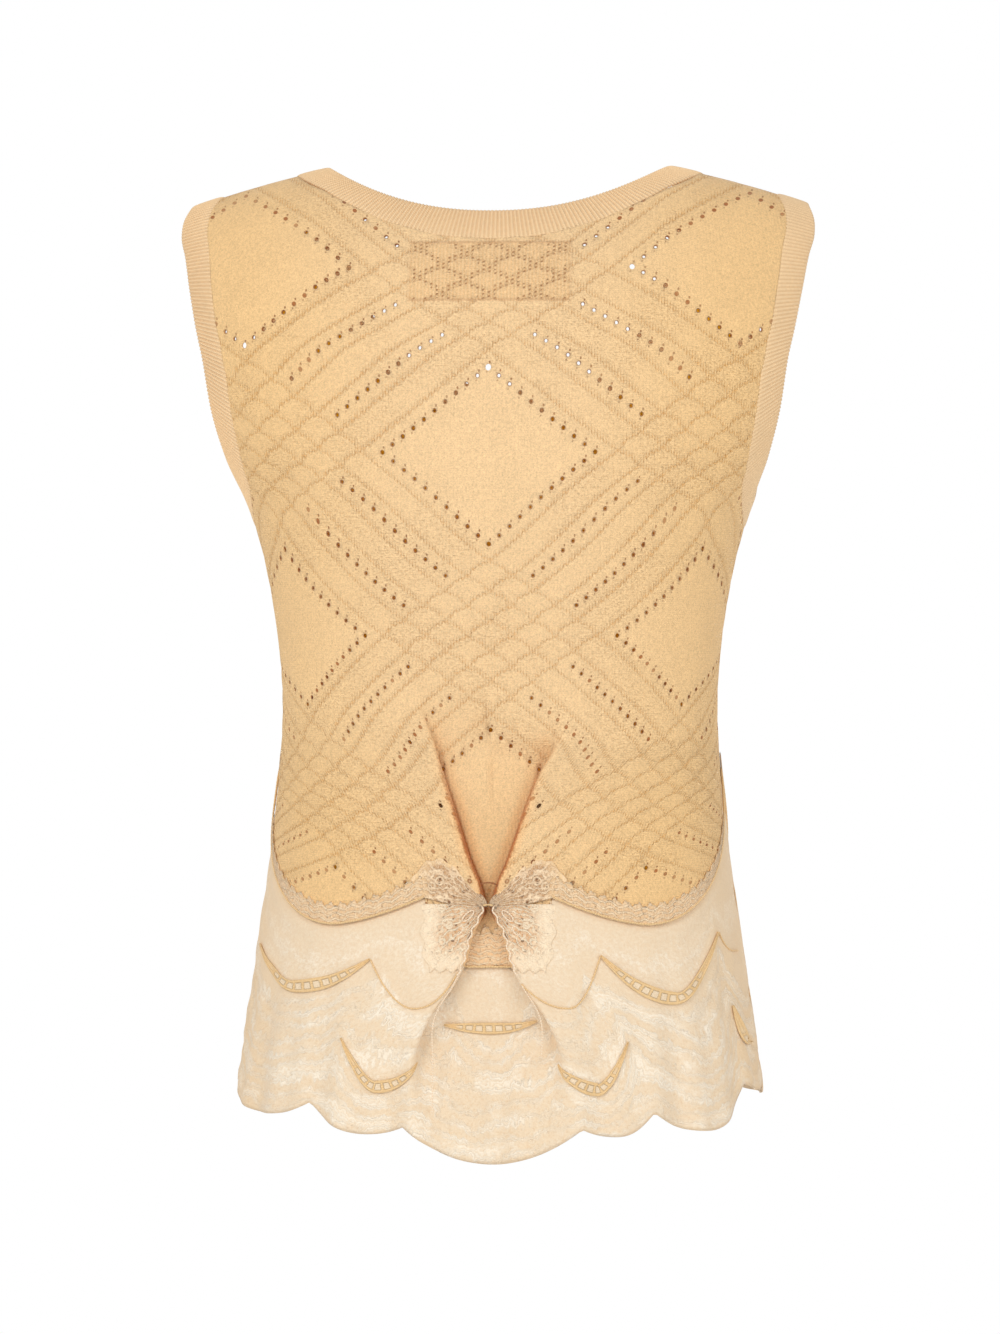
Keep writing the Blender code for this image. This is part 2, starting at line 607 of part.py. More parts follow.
def neck_label(pieces):
    """Bare label inside the back, under the neckband."""
    arc, level = np.meshgrid(np.linspace(-LABEL_WIDTH / 2, LABEL_WIDTH / 2, 7), np.linspace(*LABEL_LEVELS, 4))
    lift = -lift_over(LACE_WALL, gap=LABEL_GAP)
    points = on_body(arc, level, BACK) + outward(arc, level, BACK) * lift
    sheet(pieces, "neck_label", shifted(points, BACK), LACE_WALL, (0.78, 0.55, 0.33))


def main():
    """Build every piece of the top."""
    pieces = fresh_scene()
    knit_panels(pieces)
    lace_hem(pieces, "lace_back", BACK, BACK_LACE_HEM)
    lace_hem(pieces, "lace_front", FRONT, FRONT_LACE_HEM)
    neckband(pieces)
    armhole_bands(pieces)
    hem_trims(pieces)
    pinch_wings(pieces)
    neck_label(pieces)


main()
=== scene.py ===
"""Looks of a sleeveless knit top with a pinched back, rib bands and a scalloped lace hem."""

import math

import bmesh
import bpy
import numpy as np
from bpy.props import FloatProperty, FloatVectorProperty, PointerProperty
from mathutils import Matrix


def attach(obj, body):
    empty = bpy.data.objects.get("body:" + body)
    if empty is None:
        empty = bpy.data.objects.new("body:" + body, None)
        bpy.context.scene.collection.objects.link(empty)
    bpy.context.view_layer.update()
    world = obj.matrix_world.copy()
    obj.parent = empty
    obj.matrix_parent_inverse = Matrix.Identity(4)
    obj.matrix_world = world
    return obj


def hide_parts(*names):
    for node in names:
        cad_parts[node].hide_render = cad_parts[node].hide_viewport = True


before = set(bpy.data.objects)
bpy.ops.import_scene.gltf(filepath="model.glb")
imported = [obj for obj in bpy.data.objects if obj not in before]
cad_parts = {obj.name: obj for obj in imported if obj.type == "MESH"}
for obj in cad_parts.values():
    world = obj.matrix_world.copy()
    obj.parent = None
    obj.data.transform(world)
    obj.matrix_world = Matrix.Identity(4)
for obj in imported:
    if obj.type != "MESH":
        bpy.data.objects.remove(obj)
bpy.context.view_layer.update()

bl_info = {
    "name": "Pinched knit top",
    "version": (1, 0, 0),
    "blender": (4, 5, 0),
    "location": "View3D > Sidebar > Knit top",
    "description": "Knit panels with eyelets, rib bands, lace hem, cords and stage of a knit top",
    "category": "Add Mesh",
}

BACK, FRONT = -1, 1
LEFT, RIGHT = -1, 1

# ---- sizes of the garment, in metres
KNIT_WALL = 0.0012
LACE_WALL = 0.0007
BAND_THICKNESS = 0.0023
BAND_SIDES = 16  # points round the section of a rib band
RIB_COLUMNS = 8
RIB_HEIGHT = 0.00032
SEAM_COVER = 0.0009

SECTION_POWER = 2.4  # superellipse power of every level section
NECK_HALF = 0.102
NECK_BAND = 0.019
BACK_NECK_DROP = 0.030
BACK_NECK_BAND = 0.017
FRONT_NECK_DROP = 0.125
FRONT_NECK_BAND = 0.018
NECK_CURVE = 2.2
FRONT_NECK_CURVE = 3.0
BACK_ROLL = 0.090
FRONT_ROLL = 0.070
SHOULDER_SLOPE = 0.21
SHOULDER_BEND = 0.80
SHOULDER_REACH = 0.180

ARMHOLE_DEPTH = 0.197
ARM_BAND = 0.018
BACK_ARM_CUT = math.radians(26)
FRONT_ARM_CUT = math.radians(41)
ARM_CURVE = 1.2

KNIT_HEM = -0.440
KNIT_ENDS = (-0.443, -0.447)  # levels between which the pattern of the knit dies out
HEM_CUSP = {"share": 0.192, "level": -0.4335}
HEM_LOW = {"share": 0.480, "level": -0.4500}
HEM_SIDE_LEVEL = -0.360
HEM_CURVE = {"inner": 1.6, "outer": 1.9}
HEM_RAMP = 1.8  # power by which the last rows of the knit take the shape of its hem
PETAL_DROP = 0.040
PETAL_CURVE = 7
FRONT_PETAL_DROP = 0.018
LACE_CURVE = 2.2
LACE_OVERLAP = 0.0040  # how far the lace reaches up behind the knit hem
LEAST_TIER = 0.004
TRIM_WIDTH = 0.0118
TRIM_WALL = 0.0007
TRIM_ROWS = 9
TRIM_LIFT = {"flat": 0.0007, "crown": 0.0003}  # over the knit
EDGE_STEP = 0.0004  # the trim hangs this far below the edge of the knit, and its cord lies this far above
HEM_CORD_LIFT = 0.0018
LACE_CORD = {"lift": 0.0011, "share": 0.85}  # share of the gold cord's radius
FLUTES = {"top": -0.445, "height": 0.130, "calm": (0.80, 0.97)}  # where the lace's soft flutes lie
TRIM_WAVES = ((0.10, 0.0075), (0.05, 0.0032))  # height, as a share of its width, and pitch of the picots
PETAL_TRIM_WIDTH = 0.0230
THIN_WALL = 0.0005  # of the crescents and the wings
UPPER_WING = {"start": 0.0004, "end": 0.0470, "top": -0.4372, "crown": 0.0265, "turn": 2.3, "foot": -0.4390,
              "lift": 0.0080}
WING_ROOT = -0.4390  # level from which the threads of the wings fan out
WING_FAN = 0.045
WING_CORDS = {"lift": 0.0026, "edge": 0.00050, "loop": 0.00042, "stitch": 0.00048, "fold": 0.00034}
WING_LOOPS = (  # x and level of the centre, half width, half height and lean of each loop
    (0.0115, -0.4445, 0.0042, 0.0016, -0.75),
    (0.0165, -0.4530, 0.0030, 0.0014, -0.95),
)
STITCH_YARN = ((0.42, 0.17, 0.06), (0.26, 0.09, 0.03))
FOLD_CORDS = ((LEFT, -0.4770, -0.5600), (RIGHT, -0.4840, -0.5250))  # side, upper and lower end
LOWER_WING = {"off_fold": 0.0006, "end": 0.0388, "top": -0.4375, "height": 0.0388}
LABEL = {"half_width": 0.0475, "top": -0.050, "foot": -0.0845}
LABEL_ROWS = {"across": 0.0034, "down": 0.0026, "threads": 0.0021}  # pitches of what shows of the label
TURN_RADIUS = 0.0015
LEAST_RUN = 0.0013  # the columns keep this far apart where the pleat opens
FADE_DROP = 0.318
RAMP_DROP = 0.335
GATHER_LEVELS = (-0.286, -0.322)  # between these the columns of the grid gather into the pleat
CALM_LEVELS = (-0.275, -0.138)

# level, half width, back depth, front depth of the body
BODY = (
    (0.000, 0.2020, 0.084, 0.070),
    (-0.008, 0.2058, 0.084, 0.072),
    (-0.018, 0.2065, 0.084, 0.074),
    (-0.034, 0.2030, 0.085, 0.077),
    (-0.060, 0.1987, 0.089, 0.083),
    (-0.103, 0.1910, 0.096, 0.096),
    (-0.150, 0.1780, 0.099, 0.112),
    (-0.175, 0.1655, 0.098, 0.119),
    (-0.197, 0.1520, 0.097, 0.124),
    (-0.223, 0.1434, 0.094, 0.127),
    (-0.259, 0.1356, 0.088, 0.122),
    (-0.319, 0.1296, 0.081, 0.109),
    (-0.367, 0.1320, 0.084, 0.108),
    (-0.415, 0.1380, 0.094, 0.110),
    (-0.463, 0.1446, 0.102, 0.113),
    (-0.511, 0.1518, 0.107, 0.115),
    (-0.560, 0.1585, 0.110, 0.117),
    (-0.620, 0.1640, 0.112, 0.118),
)

# level, reach from the centre to the fold edge, overlap, turn of the left and of the right fold in degrees
PLEAT = (
    (-0.300, 0.0360, 0.0028, 1.0, 1.0),
    (-0.312, 0.0355, 0.0028, 8.0, 2.0),
    (-0.325, 0.0345, 0.0030, 48.0, 10.0),
    (-0.338, 0.0318, 0.0040, 112.0, 42.0),
    (-0.356, 0.0290, 0.0080, 165.0, 135.0),
    (-0.386, 0.0194, 0.0157, 174.0, 174.0),
    (-0.411, 0.0110, 0.0200, 176.0, 176.0),
    (-0.430, 0.0036, 0.0222, 176.0, 176.0),
    (-0.440, 0.0022, 0.0225, 176.0, 176.0),
    (-0.454, 0.0085, 0.0215, 176.0, 176.0),
    (-0.472, 0.0135, 0.0200, 176.0, 176.0),
    (-0.486, 0.0204, 0.0165, 172.0, 172.0),
    (-0.499, 0.0285, 0.0120, 150.0, 150.0),
    (-0.532, 0.0310, 0.0080, 66.0, 58.0),
    (-0.555, 0.0312, 0.0050, 30.0, 26.0),
    (-0.600, 0.0312, 0.0030, 12.0, 12.0),
)

# share of the quarter section and level where each scallop of the lace starts, then those of its lowest point
BACK_LACE_HEM = (
    (-1.000, -0.5450, -0.960, -0.5465),
    (-0.900, -0.5440, -0.640, -0.5620),
    (-0.493, -0.5540, -0.330, -0.5715),
    (-0.223, -0.5670, 0.010, -0.5880),
    (0.251, -0.5680, 0.345, -0.5725),
    (0.444, -0.5590, 0.610, -0.5705),
    (0.770, -0.5450, 0.890, -0.5500),
    (1.000, -0.5450, 1.000, -0.5450),
)
# the same for the two inner tiers of the lace
BACK_FIRST_TIER = (
    (-1.000, -0.4500, -0.900, -0.4600),
    (-0.860, -0.4560, -0.608, -0.4905),
    (-0.341, -0.4716, -0.209, -0.4980),
    (-0.084, -0.4800, 0.005, -0.5120),
    (0.095, -0.4840, 0.220, -0.4975),
    (0.324, -0.4680, 0.560, -0.4965),
    (0.749, -0.4550, 0.900, -0.4900),
    (1.000, -0.4700, 1.000, -0.4700),
)
BACK_SECOND_TIER = (
    (-1.000, -0.5050, -0.930, -0.5120),
    (-0.860, -0.5060, -0.620, -0.5290),
    (-0.413, -0.5159, -0.304, -0.5474),
    (-0.174, -0.5297, 0.000, -0.5500),
    (0.176, -0.5303, 0.311, -0.5486),
    (0.386, -0.5176, 0.600, -0.5380),
    (0.774, -0.5013, 0.900, -0.5240),
    (1.000, -0.5080, 1.000, -0.5080),
)


def even_scallops(tops, bottoms):
    """Rows of five even scallops of the front, from three levels of their tops and of their lowest points."""
    starts, lows = (-1.0, -0.66, -0.22, 0.22, 0.66, 1.0), (-0.84, -0.44, 0.0, 0.44, 0.84, 1.0)
    return tuple(zip(starts, (*tops, *tops[::-1]), lows, (*bottoms, *bottoms[1::-1], tops[0])))


FRONT_LACE_HEM = even_scallops((-0.5450, -0.5480, -0.5620), (-0.5560, -0.5680, -0.5820))
FRONT_FIRST_TIER = even_scallops((-0.4500, -0.4640, -0.4720), (-0.4900, -0.4950, -0.5050))
FRONT_SECOND_TIER = even_scallops((-0.5000, -0.5120, -0.5200), (-0.5280, -0.5380, -0.5480))

# ---- sizes of the knit's lattice, in metres
DIAMOND_WIDTH = 0.283  # from one plain diamond to the next, across the cloth
DIAMOND_HEIGHT = 0.225
DIAMOND_HALF = 0.22  # half size of a plain diamond, as a share of those
BAND = (1.0 - 2.0 * DIAMOND_HALF) / 6.0  # six sloping bands lie between two plain diamonds
EYELET_STEP = DIAMOND_HALF / 5.0
EYELET_BANDS = (0, 2, 4, 6)
ARCH = 0.10  # how far the scales at the crossings bulge, in bands
BAND_WIDTH = BAND / math.hypot(1.0 / DIAMOND_WIDTH, 1.0 / DIAMOND_HEIGHT)
STRETCH_REACH = 0.05  # distance from the centre back over which the stretch sets in
FRONT_PATTERN_RISE = 0.012
QUIET_LEVELS = (-0.030, -0.012)  # the relief calms down between these, towards the shoulders
PILLOW = 0.00050
# an eyelet is cut where a vertex lies within reach, its columns at least so far apart and at most so aslant
EYELET_REACH = 0.0017
LARGE_EYELET = {"apart": 0.00100, "slant": 0.00105, "grows": 1.75}
SMALL_EYELET = {"apart": 0.00125, "slant": 0.00070, "grows": 1.0}
HIGH_EYELETS = {"level": -0.168, "grows": 1.40}  # above this level the knit is drawn wider
AROUND = ((-1, -1), (-1, 0), (-1, 1), (0, 1), (1, 1), (1, 0), (1, -1), (0, -1))
LIP = 0.0020  # how far the edges of the pleat roll out
LIP_FADE = 0.012
PINCH = {"top": -0.415, "reach": 0.012}  # the layer under the pinch has no eyelets below this level

# level, height in the pattern at the centre back, how much higher and wider the pattern is towards the sides
STRETCH = (
    (0.0000, 0.2065, -0.330, -0.080),
    (-0.0300, 0.1690, -0.310, -0.080),
    (-0.0600, 0.1310, -0.255, -0.080),
    (-0.0822, 0.1019, -0.150, -0.075),
    (-0.0978, 0.0809, -0.090, -0.070),
    (-0.1140, 0.0599, -0.050, -0.070),
    (-0.1242, 0.0494, -0.035, -0.045),
    (-0.1765, 0.0000, -0.090, 0.000),
    (-0.2050, -0.0278, -0.170, 0.045),
    (-0.2271, -0.0495, -0.122, 0.090),
    (-0.2825, -0.1139, -0.020, 0.100),
    (-0.3217, -0.1594, -0.040, 0.290),
    (-0.3436, -0.1842, -0.020, 0.300),
    (-0.3650, -0.2068, -0.080, 0.180),
    (-0.3985, -0.2418, -0.350, 0.160),
    (-0.4150, -0.2596, -0.430, 0.055),
    (-0.4400, -0.2869, -0.500, 0.000),
    (-0.5000, -0.3469, -0.500, 0.000),
)

# soft creases: x and level of both ends, width, height of the ridge or depth of the trough
BACK_CREASES = (
    (-0.010, -0.424, -0.098, -0.372, 0.0085, -0.0016),
    (-0.016, -0.431, -0.112, -0.404, 0.0075, -0.0014),
    (-0.022, -0.398, -0.082, -0.338, 0.0090, -0.0012),
    (-0.012, -0.412, -0.062, -0.352, 0.0060, 0.0010),
    (0.010, -0.424, 0.118, -0.366, 0.0090, -0.0018),
    (0.016, -0.431, 0.124, -0.399, 0.0070, -0.0015),
    (0.024, -0.394, 0.074, -0.330, 0.0085, -0.0011),
    (0.014, -0.410, 0.072, -0.356, 0.0065, 0.0011),
    (0.092, -0.389, 0.139, -0.371, 0.0060, -0.0013),
    (-0.100, -0.398, -0.140, -0.374, 0.0065, -0.0010),
    (-0.003, -0.352, -0.004, -0.418, 0.0085, 0.0010),
    (0.138, -0.172, 0.104, -0.214, 0.0120, -0.0014),
    (-0.140, -0.168, -0.112, -0.220, 0.0135, -0.0012),
    (-0.128, -0.296, -0.070, -0.312, 0.0120, -0.0009),
    (0.130, -0.306, 0.078, -0.300, 0.0110, -0.0010),
)
FRONT_CREASES = (
    (0.150, -0.166, 0.088, -0.212, 0.0110, -0.0016),
    (-0.148, -0.172, -0.094, -0.204, 0.0125, -0.0014),
    (0.136, -0.222, 0.086, -0.268, 0.0140, -0.0011),
    (-0.138, -0.226, -0.080, -0.258, 0.0120, -0.0012),
    (0.128, -0.312, 0.054, -0.330, 0.0120, -0.0011),
    (-0.130, -0.306, -0.064, -0.322, 0.0130, -0.0010),
    (0.126, -0.336, 0.070, -0.350, 0.0080, 0.0008),
    (-0.024, -0.360, -0.036, -0.432, 0.0120, -0.0009),
    (0.040, -0.352, 0.060, -0.428, 0.0130, -0.0010),
)

# gold crescents of the lace: x and level of the start, the lowest point and the end, full width
CRESCENTS = (
    (-0.1400, -0.4640, -0.1150, -0.4905, -0.0690, -0.4700, 0.0070),
    (0.0650, -0.4675, 0.1080, -0.4965, 0.1322, -0.4555, 0.0072),
    (-0.0860, -0.5160, -0.0650, -0.5474, -0.0374, -0.5295, 0.0066),
    (0.0378, -0.5303, 0.0640, -0.5486, 0.0815, -0.5176, 0.0072),
    (0.1400, -0.4990, 0.1480, -0.5225, 0.1512, -0.5215, 0.0036),
)
CENTRE_CRESCENT = (-0.0270, -0.5075, 0.0010, -0.5125, 0.0290, -0.5050, 0.0062)
# thin cords of the lace: the same, without a width
LACE_CORDS = (
    (-0.0690, -0.4700, -0.0430, -0.4982, -0.0173, -0.4770),
    (0.0195, -0.4835, 0.0470, -0.4978, 0.0652, -0.4675),
    (0.1322, -0.4555, 0.1405, -0.4672, 0.1428, -0.4674),
)


def with_mirror(rows):
    """Rows of scallops and then their mirror images."""
    return rows + tuple((-r[4], r[5], -r[2], r[3], -r[0], r[1], *r[6:]) for r in rows[::-1])


FRONT_CRESCENTS = with_mirror((
    (-0.1420, -0.4700, -0.1220, -0.4900, -0.0990, -0.4690, 0.0066),
    (-0.0940, -0.4680, -0.0680, -0.4960, -0.0380, -0.4760, 0.0070),
)) + ((-0.0330, -0.5260, 0.0000, -0.5490, 0.0330, -0.5260, 0.0072),)
FRONT_LACE_CORDS = ((-0.0380, -0.4760, 0.0000, -0.5040, 0.0380, -0.4760),) + with_mirror((
    (-0.0990, -0.4690, -0.0965, -0.4700, -0.0940, -0.4680),
))

# ---- how finely the sheets are divided
NECK_STEPS = 68
SHOULDER_STEPS = 40
UNDER_STEPS = 17
TURN_STEPS = 4
RUN_STEPS = 5
PETAL_STEPS = 9
KNIT_ROWS = 206
FRONT_STEPS = 92
LACE_ROWS = 60

# the stage
FLOOR = {"radius": 3.4, "level": -1.36, "grey": 0.93, "sides": 64}
LAMPS = (  # name, place, size, share of the key lamp's power
    ("key", (-1.6, -2.6, 1.0), 1.6, 1.0),
    ("fill", (2.0, -2.2, 0.1), 1.8, 0.55),
    ("behind", (0.3, 2.6, 0.8), 1.8, 0.6),
)
LAMP_AIM = (0.0, 0.0, -0.28)
CAMERA = {"lens": 157.4, "distance": 3.5, "level": -0.299, "turn": math.radians(4.0)}

PLEAT_STEPS = UNDER_STEPS + 2 * TURN_STEPS + RUN_STEPS + PETAL_STEPS
BACK_STEPS = NECK_STEPS + SHOULDER_STEPS
ARM_SEAM_DEPTH = ARMHOLE_DEPTH + ARM_BAND
TURN_LENGTH = math.pi * TURN_RADIUS
TABLE_LEVELS = np.linspace(0.0, -0.620, 249)
TABLE_ANGLES = np.linspace(0.0, math.pi / 2, 361)
TABLE_SHARES = np.linspace(0.0, 1.0, 241)


# ---- body form
def column(table, index):
    """One named column of a table, as an array."""
    return np.array([row[index] for row in table])


def smooth(level, table, index):
    """Cubic Hermite curve through one column of a table that runs downwards, with its mean slopes."""
    xs, ys = column(table, 0)[::-1], column(table, index)[::-1]
    slopes = np.gradient(ys, xs)
    i = np.clip(np.searchsorted(xs, level) - 1, 0, len(xs) - 2)
    run = xs[i + 1] - xs[i]
    t = np.clip((level - xs[i]) / run, 0.0, 1.0)
    start = (2 * t**3 - 3 * t**2 + 1) * ys[i] + (t**3 - 2 * t**2 + t) * run * slopes[i]
    end = (3 * t**2 - 2 * t**3) * ys[i + 1] + (t**3 - t**2) * run * slopes[i + 1]
    return start + end


def body_size(level, side):
    """Half width and depth of the body. Over the shoulder, depth falls by sqrt(1 - (1 + level / roll)^2)."""
    half = smooth(level, BODY, 1)
    depth = smooth(level, BODY, 2 if side == BACK else 3)
    roll = BACK_ROLL if side == BACK else FRONT_ROLL
    left = np.clip(1.0 + level / roll, 0.0, 1.0)
    return half, depth * np.sqrt(1.0 - left**2)


def body_point(angle, level, side):
    """Superellipse section: x = half * sin(a)^(2/n), y = depth * cos(a)^(2/n), lowered over the shoulder."""
    half, depth = body_size(level, side)
    power = 2.0 / SECTION_POWER
    x = half * np.sign(angle) * np.abs(np.sin(angle)) ** power
    y = side * depth * np.abs(np.cos(angle)) ** power
    over = np.maximum(np.abs(x) - NECK_HALF, 0.0)
    fall = SHOULDER_SLOPE * over + SHOULDER_BEND * over**2
    slope_left = np.cos(np.clip(-level / SHOULDER_REACH, 0.0, 1.0) * math.pi / 2) ** 2
    return np.stack([x, y, level - fall * slope_left], axis=-1)


def section_tables(side):
    """At each table level: the quarter section's length, angles at even shares of it, and the reverse."""
    levels, angles = np.meshgrid(TABLE_LEVELS, TABLE_ANGLES, indexing="ij")
    points = body_point(angles, levels, side)[..., :2]
    steps = np.linalg.norm(np.diff(points, axis=1), axis=-1)
    arcs = np.concatenate([np.zeros((len(levels), 1)), np.cumsum(steps, axis=1)], axis=1)
    shares = arcs / arcs[:, -1:]
    turned = [np.interp(TABLE_SHARES, share, TABLE_ANGLES) for share in shares]
    middle = body_size(TABLE_LEVELS, side)[1]
    down = np.concatenate([[0.0], np.cumsum(np.hypot(np.diff(TABLE_LEVELS), np.diff(middle)))])
    return {"length": arcs[:, -1], "angle": np.array(turned), "share": shares, "down": down}


SECTIONS = {side: section_tables(side) for side in (BACK, FRONT)}


def lookup(table, level, part):
    """Value of a table at a level and at a part, from 0 to 1, of its row. Linear between entries."""
    down = np.clip(level / TABLE_LEVELS[-1], 0.0, 1.0) * (table.shape[0] - 1)
    across = np.clip(part, 0.0, 1.0) * (table.shape[1] - 1)
    i = np.minimum(np.floor(down).astype(int), table.shape[0] - 2)
    j = np.minimum(np.floor(across).astype(int), table.shape[1] - 2)
    u = down - i
    v = across - j
    upper = table[i, j] * (1 - v) + table[i, j + 1] * v
    lower = table[i + 1, j] * (1 - v) + table[i + 1, j + 1] * v
    return upper * (1 - u) + lower * u


def quarter(level, side):
    """Length of the section from the centre line to the side seam."""
    return np.interp(-level, -TABLE_LEVELS, SECTIONS[side]["length"])


def down_cloth(level, side):
    """Distance down the cloth from the shoulder line, over the roll of the shoulder."""
    return np.interp(-level, -TABLE_LEVELS, SECTIONS[side]["down"])


def angle_at(arc, level, side):
    """Section angle at a signed distance along the cloth from the centre line."""
    return np.sign(arc) * lookup(SECTIONS[side]["angle"], level, np.abs(arc) / quarter(level, side))


def arc_at(angle, level, side):
    """Distance along the cloth from the centre line to a section angle of 0 to 90 degrees."""
    return lookup(SECTIONS[side]["share"], level, angle / (math.pi / 2)) * quarter(level, side)


def arc_of_x(x, level, side):
    """Distance along the cloth from the centre line to the point at x: angle = asin((x / half)^(n/2))."""
    half = body_size(level, side)[0]
    return arc_at(np.arcsin(np.clip(x / half, 0.0, 1.0) ** (SECTION_POWER / 2.0)), level, side)


def on_body(arc, level, side):
    """Point of the body form at a signed distance from the centre line, along its section."""
    return body_point(angle_at(arc, level, side), level, side)


def outward(arc, level, side):
    """Unit normal of the body form, from the cross product of its two directions."""
    step = 0.0005
    low = np.minimum(level, -step)
    limit = quarter(low, side) - 1.5 * step
    arc = np.clip(arc, -limit, limit)
    across = on_body(arc + step, low, side) - on_body(arc - step, low, side)
    down = on_body(arc, low - step, side) - on_body(arc, low + step, side)
    normal = np.cross(across, down) * side
    return normal / np.linalg.norm(normal, axis=-1, keepdims=True)


# ---- pleat of the centre back
def pleat_sizes(level, hand):
    """Where the first turn starts, the flat run between the turns, and the turn itself, at a level."""
    reach, overlap, left, right = (smooth(level, PLEAT, i) for i in (1, 2, 3, 4))
    flat_run = np.maximum(overlap - 2 * TURN_RADIUS, 0.0)
    start = reach + flat_run + TURN_RADIUS
    return start, flat_run, np.radians(np.maximum(np.where(hand == LEFT, left, right), 0.5))


def fold_reach(level):
    """Distance from the centre back to the edge of the folds."""
    return smooth(level, PLEAT, 1)


def pleat(flat, level):
    """Section of the pleat. flat is the distance from the centre back, measured along the cloth.

    The cloth's direction turns from 0 to the full turn and back to 0. The place along the body is
    the integral of the cosine of that direction, and the depth under the body that of its sine.
    """
    start, flat_run, turn = pleat_sizes(level, np.where(flat < 0, LEFT, RIGHT))
    bend = TURN_LENGTH / turn
    s = np.abs(flat)
    first = np.clip(s - start, 0.0, TURN_LENGTH)
    second = np.clip(s - start - TURN_LENGTH, 0.0, flat_run)
    third = np.clip(s - start - TURN_LENGTH - flat_run, 0.0, TURN_LENGTH)
    rest = np.maximum(s - start - 2 * TURN_LENGTH - flat_run, 0.0)
    left = turn - third / bend
    along = np.minimum(s, start) + bend * np.sin(first / bend) + second * np.cos(turn)
    along = along + bend * (np.sin(turn) - np.sin(left)) + rest
    fall = bend * (1 - np.cos(first / bend)) + second * np.sin(turn) + bend * (np.cos(left) - np.cos(turn))
    whole = 2 * bend * (1 - np.cos(turn)) + flat_run * np.sin(turn)
    return np.sign(flat) * along, whole - fall


def hidden(level, hand):
    """Width of cloth that the pleat takes up on one side."""
    start, flat_run, _ = pleat_sizes(level, hand)
    end = start + 2 * TURN_LENGTH + flat_run
    return end - np.abs(pleat(end * hand, level)[0])


def arc_of_flat(flat, level, side):
    """Distance from the centre line, along the body, of a place on the flat cloth."""
    return pleat(flat, level)[0] if side == BACK else flat


def cloth(flat, level, side, lift=0.0):
    """Point of the back or front at a place on the flat cloth and a level, moved out by lift."""
    arc, depth = pleat(flat, level) if side == BACK else (flat, np.zeros_like(flat))
    return on_body(arc, level, side) + outward(arc, level, side) * (lift - depth)[..., None]


def flat_at(x, level, side):
    """Place on the flat cloth of the outer layer at x: its arc, plus what the pleat hides before it."""
    hand = np.where(x < 0, LEFT, RIGHT)
    arc = arc_of_x(np.abs(x), level, side)
    return hand * (arc + hidden(level, hand)) if side == BACK else hand * arc


# ---- edges
def neck_size(side, inward):
    """Half width and drop of a line round the neck: inward 0 is the free edge, 1 the seam of the band."""
    drop, band = (BACK_NECK_DROP, BACK_NECK_BAND) if side == BACK else (FRONT_NECK_DROP, FRONT_NECK_BAND)
    return NECK_HALF + NECK_BAND * inward, drop + band * inward


def back_neck(sine, inward):
    """Arc and level of a line round the back neck, where x is sine times its half width."""
    half, drop = neck_size(BACK, inward)
    level = -drop * (1.0 - sine**NECK_CURVE)
    return arc_of_x(half * sine, level, BACK), level


def front_neck(depth, inward):
    """Arc and level of a line round the front neck, where the level is depth times its drop."""
    half, drop = neck_size(FRONT, inward)
    level = -drop * depth
    return arc_of_x(half * np.clip(1.0 - depth**2, 0.0, 1.0) ** (1 / FRONT_NECK_CURVE), level, FRONT), level


def armhole(turn, side, inward):
    """Arc and level of a line round the armhole: turn is 0 at the underarm and pi at the shoulder."""
    low = np.sin(np.minimum(turn, math.pi / 2))
    cut = BACK_ARM_CUT * low**ARM_CURVE
    if side == FRONT:
        cut = cut + (FRONT_ARM_CUT - BACK_ARM_CUT) * np.abs(np.sin(turn)) ** ARM_CURVE
    level = -(ARMHOLE_DEPTH + ARM_BAND * inward) * (1.0 + np.cos(turn)) / 2.0
    return arc_at(math.pi / 2 - cut, level, side) - ARM_BAND * inward * low, level


def arm_turn(level):
    """Turn round the armhole at which its seam passes a level."""
    return np.arccos(np.clip(-2.0 * level / ARM_SEAM_DEPTH - 1.0, -1.0, 1.0))


def side_arc(level, side):
    """Distance from the centre line to the edge of a panel: the armhole seam, or the side seam."""
    edge = armhole(arm_turn(level), side, 1.0)[0]
    return np.where(level > -ARM_SEAM_DEPTH, edge, quarter(level, side))


def calmed(flat, level, side):
    """Flat places whose inner columns run straight past the underarm, while the edge column follows it."""
    edge = side_arc(level, side)
    straight = np.interp(level, CALM_LEVELS, side_arc(np.array(CALM_LEVELS), side))
    inside = (level > CALM_LEVELS[0]) & (level < CALM_LEVELS[1])
    share = flat / edge
    return flat - np.where(inside, (edge - straight) * (share - share**9), 0.0)


def scallops(share, table):
    """Level of a scalloped line: low + (top - low) * u^2.2, where u runs from 0 at the lowest point to 1."""
    starts, tops, lows, bottoms = (column(table, k) for k in range(4))
    i = np.clip(np.searchsorted(starts, share, side="right") - 1, 0, len(table) - 2)
    falling = np.clip((lows[i] - share) / (lows[i] - starts[i]), 0.0, 1.0)
    rising = np.clip((share - lows[i]) / (starts[i + 1] - lows[i]), 0.0, 1.0)
    bottom = bottoms[i]
    return bottom + (tops[i] - bottom) * falling**LACE_CURVE + (tops[i + 1] - bottom) * rising**LACE_CURVE


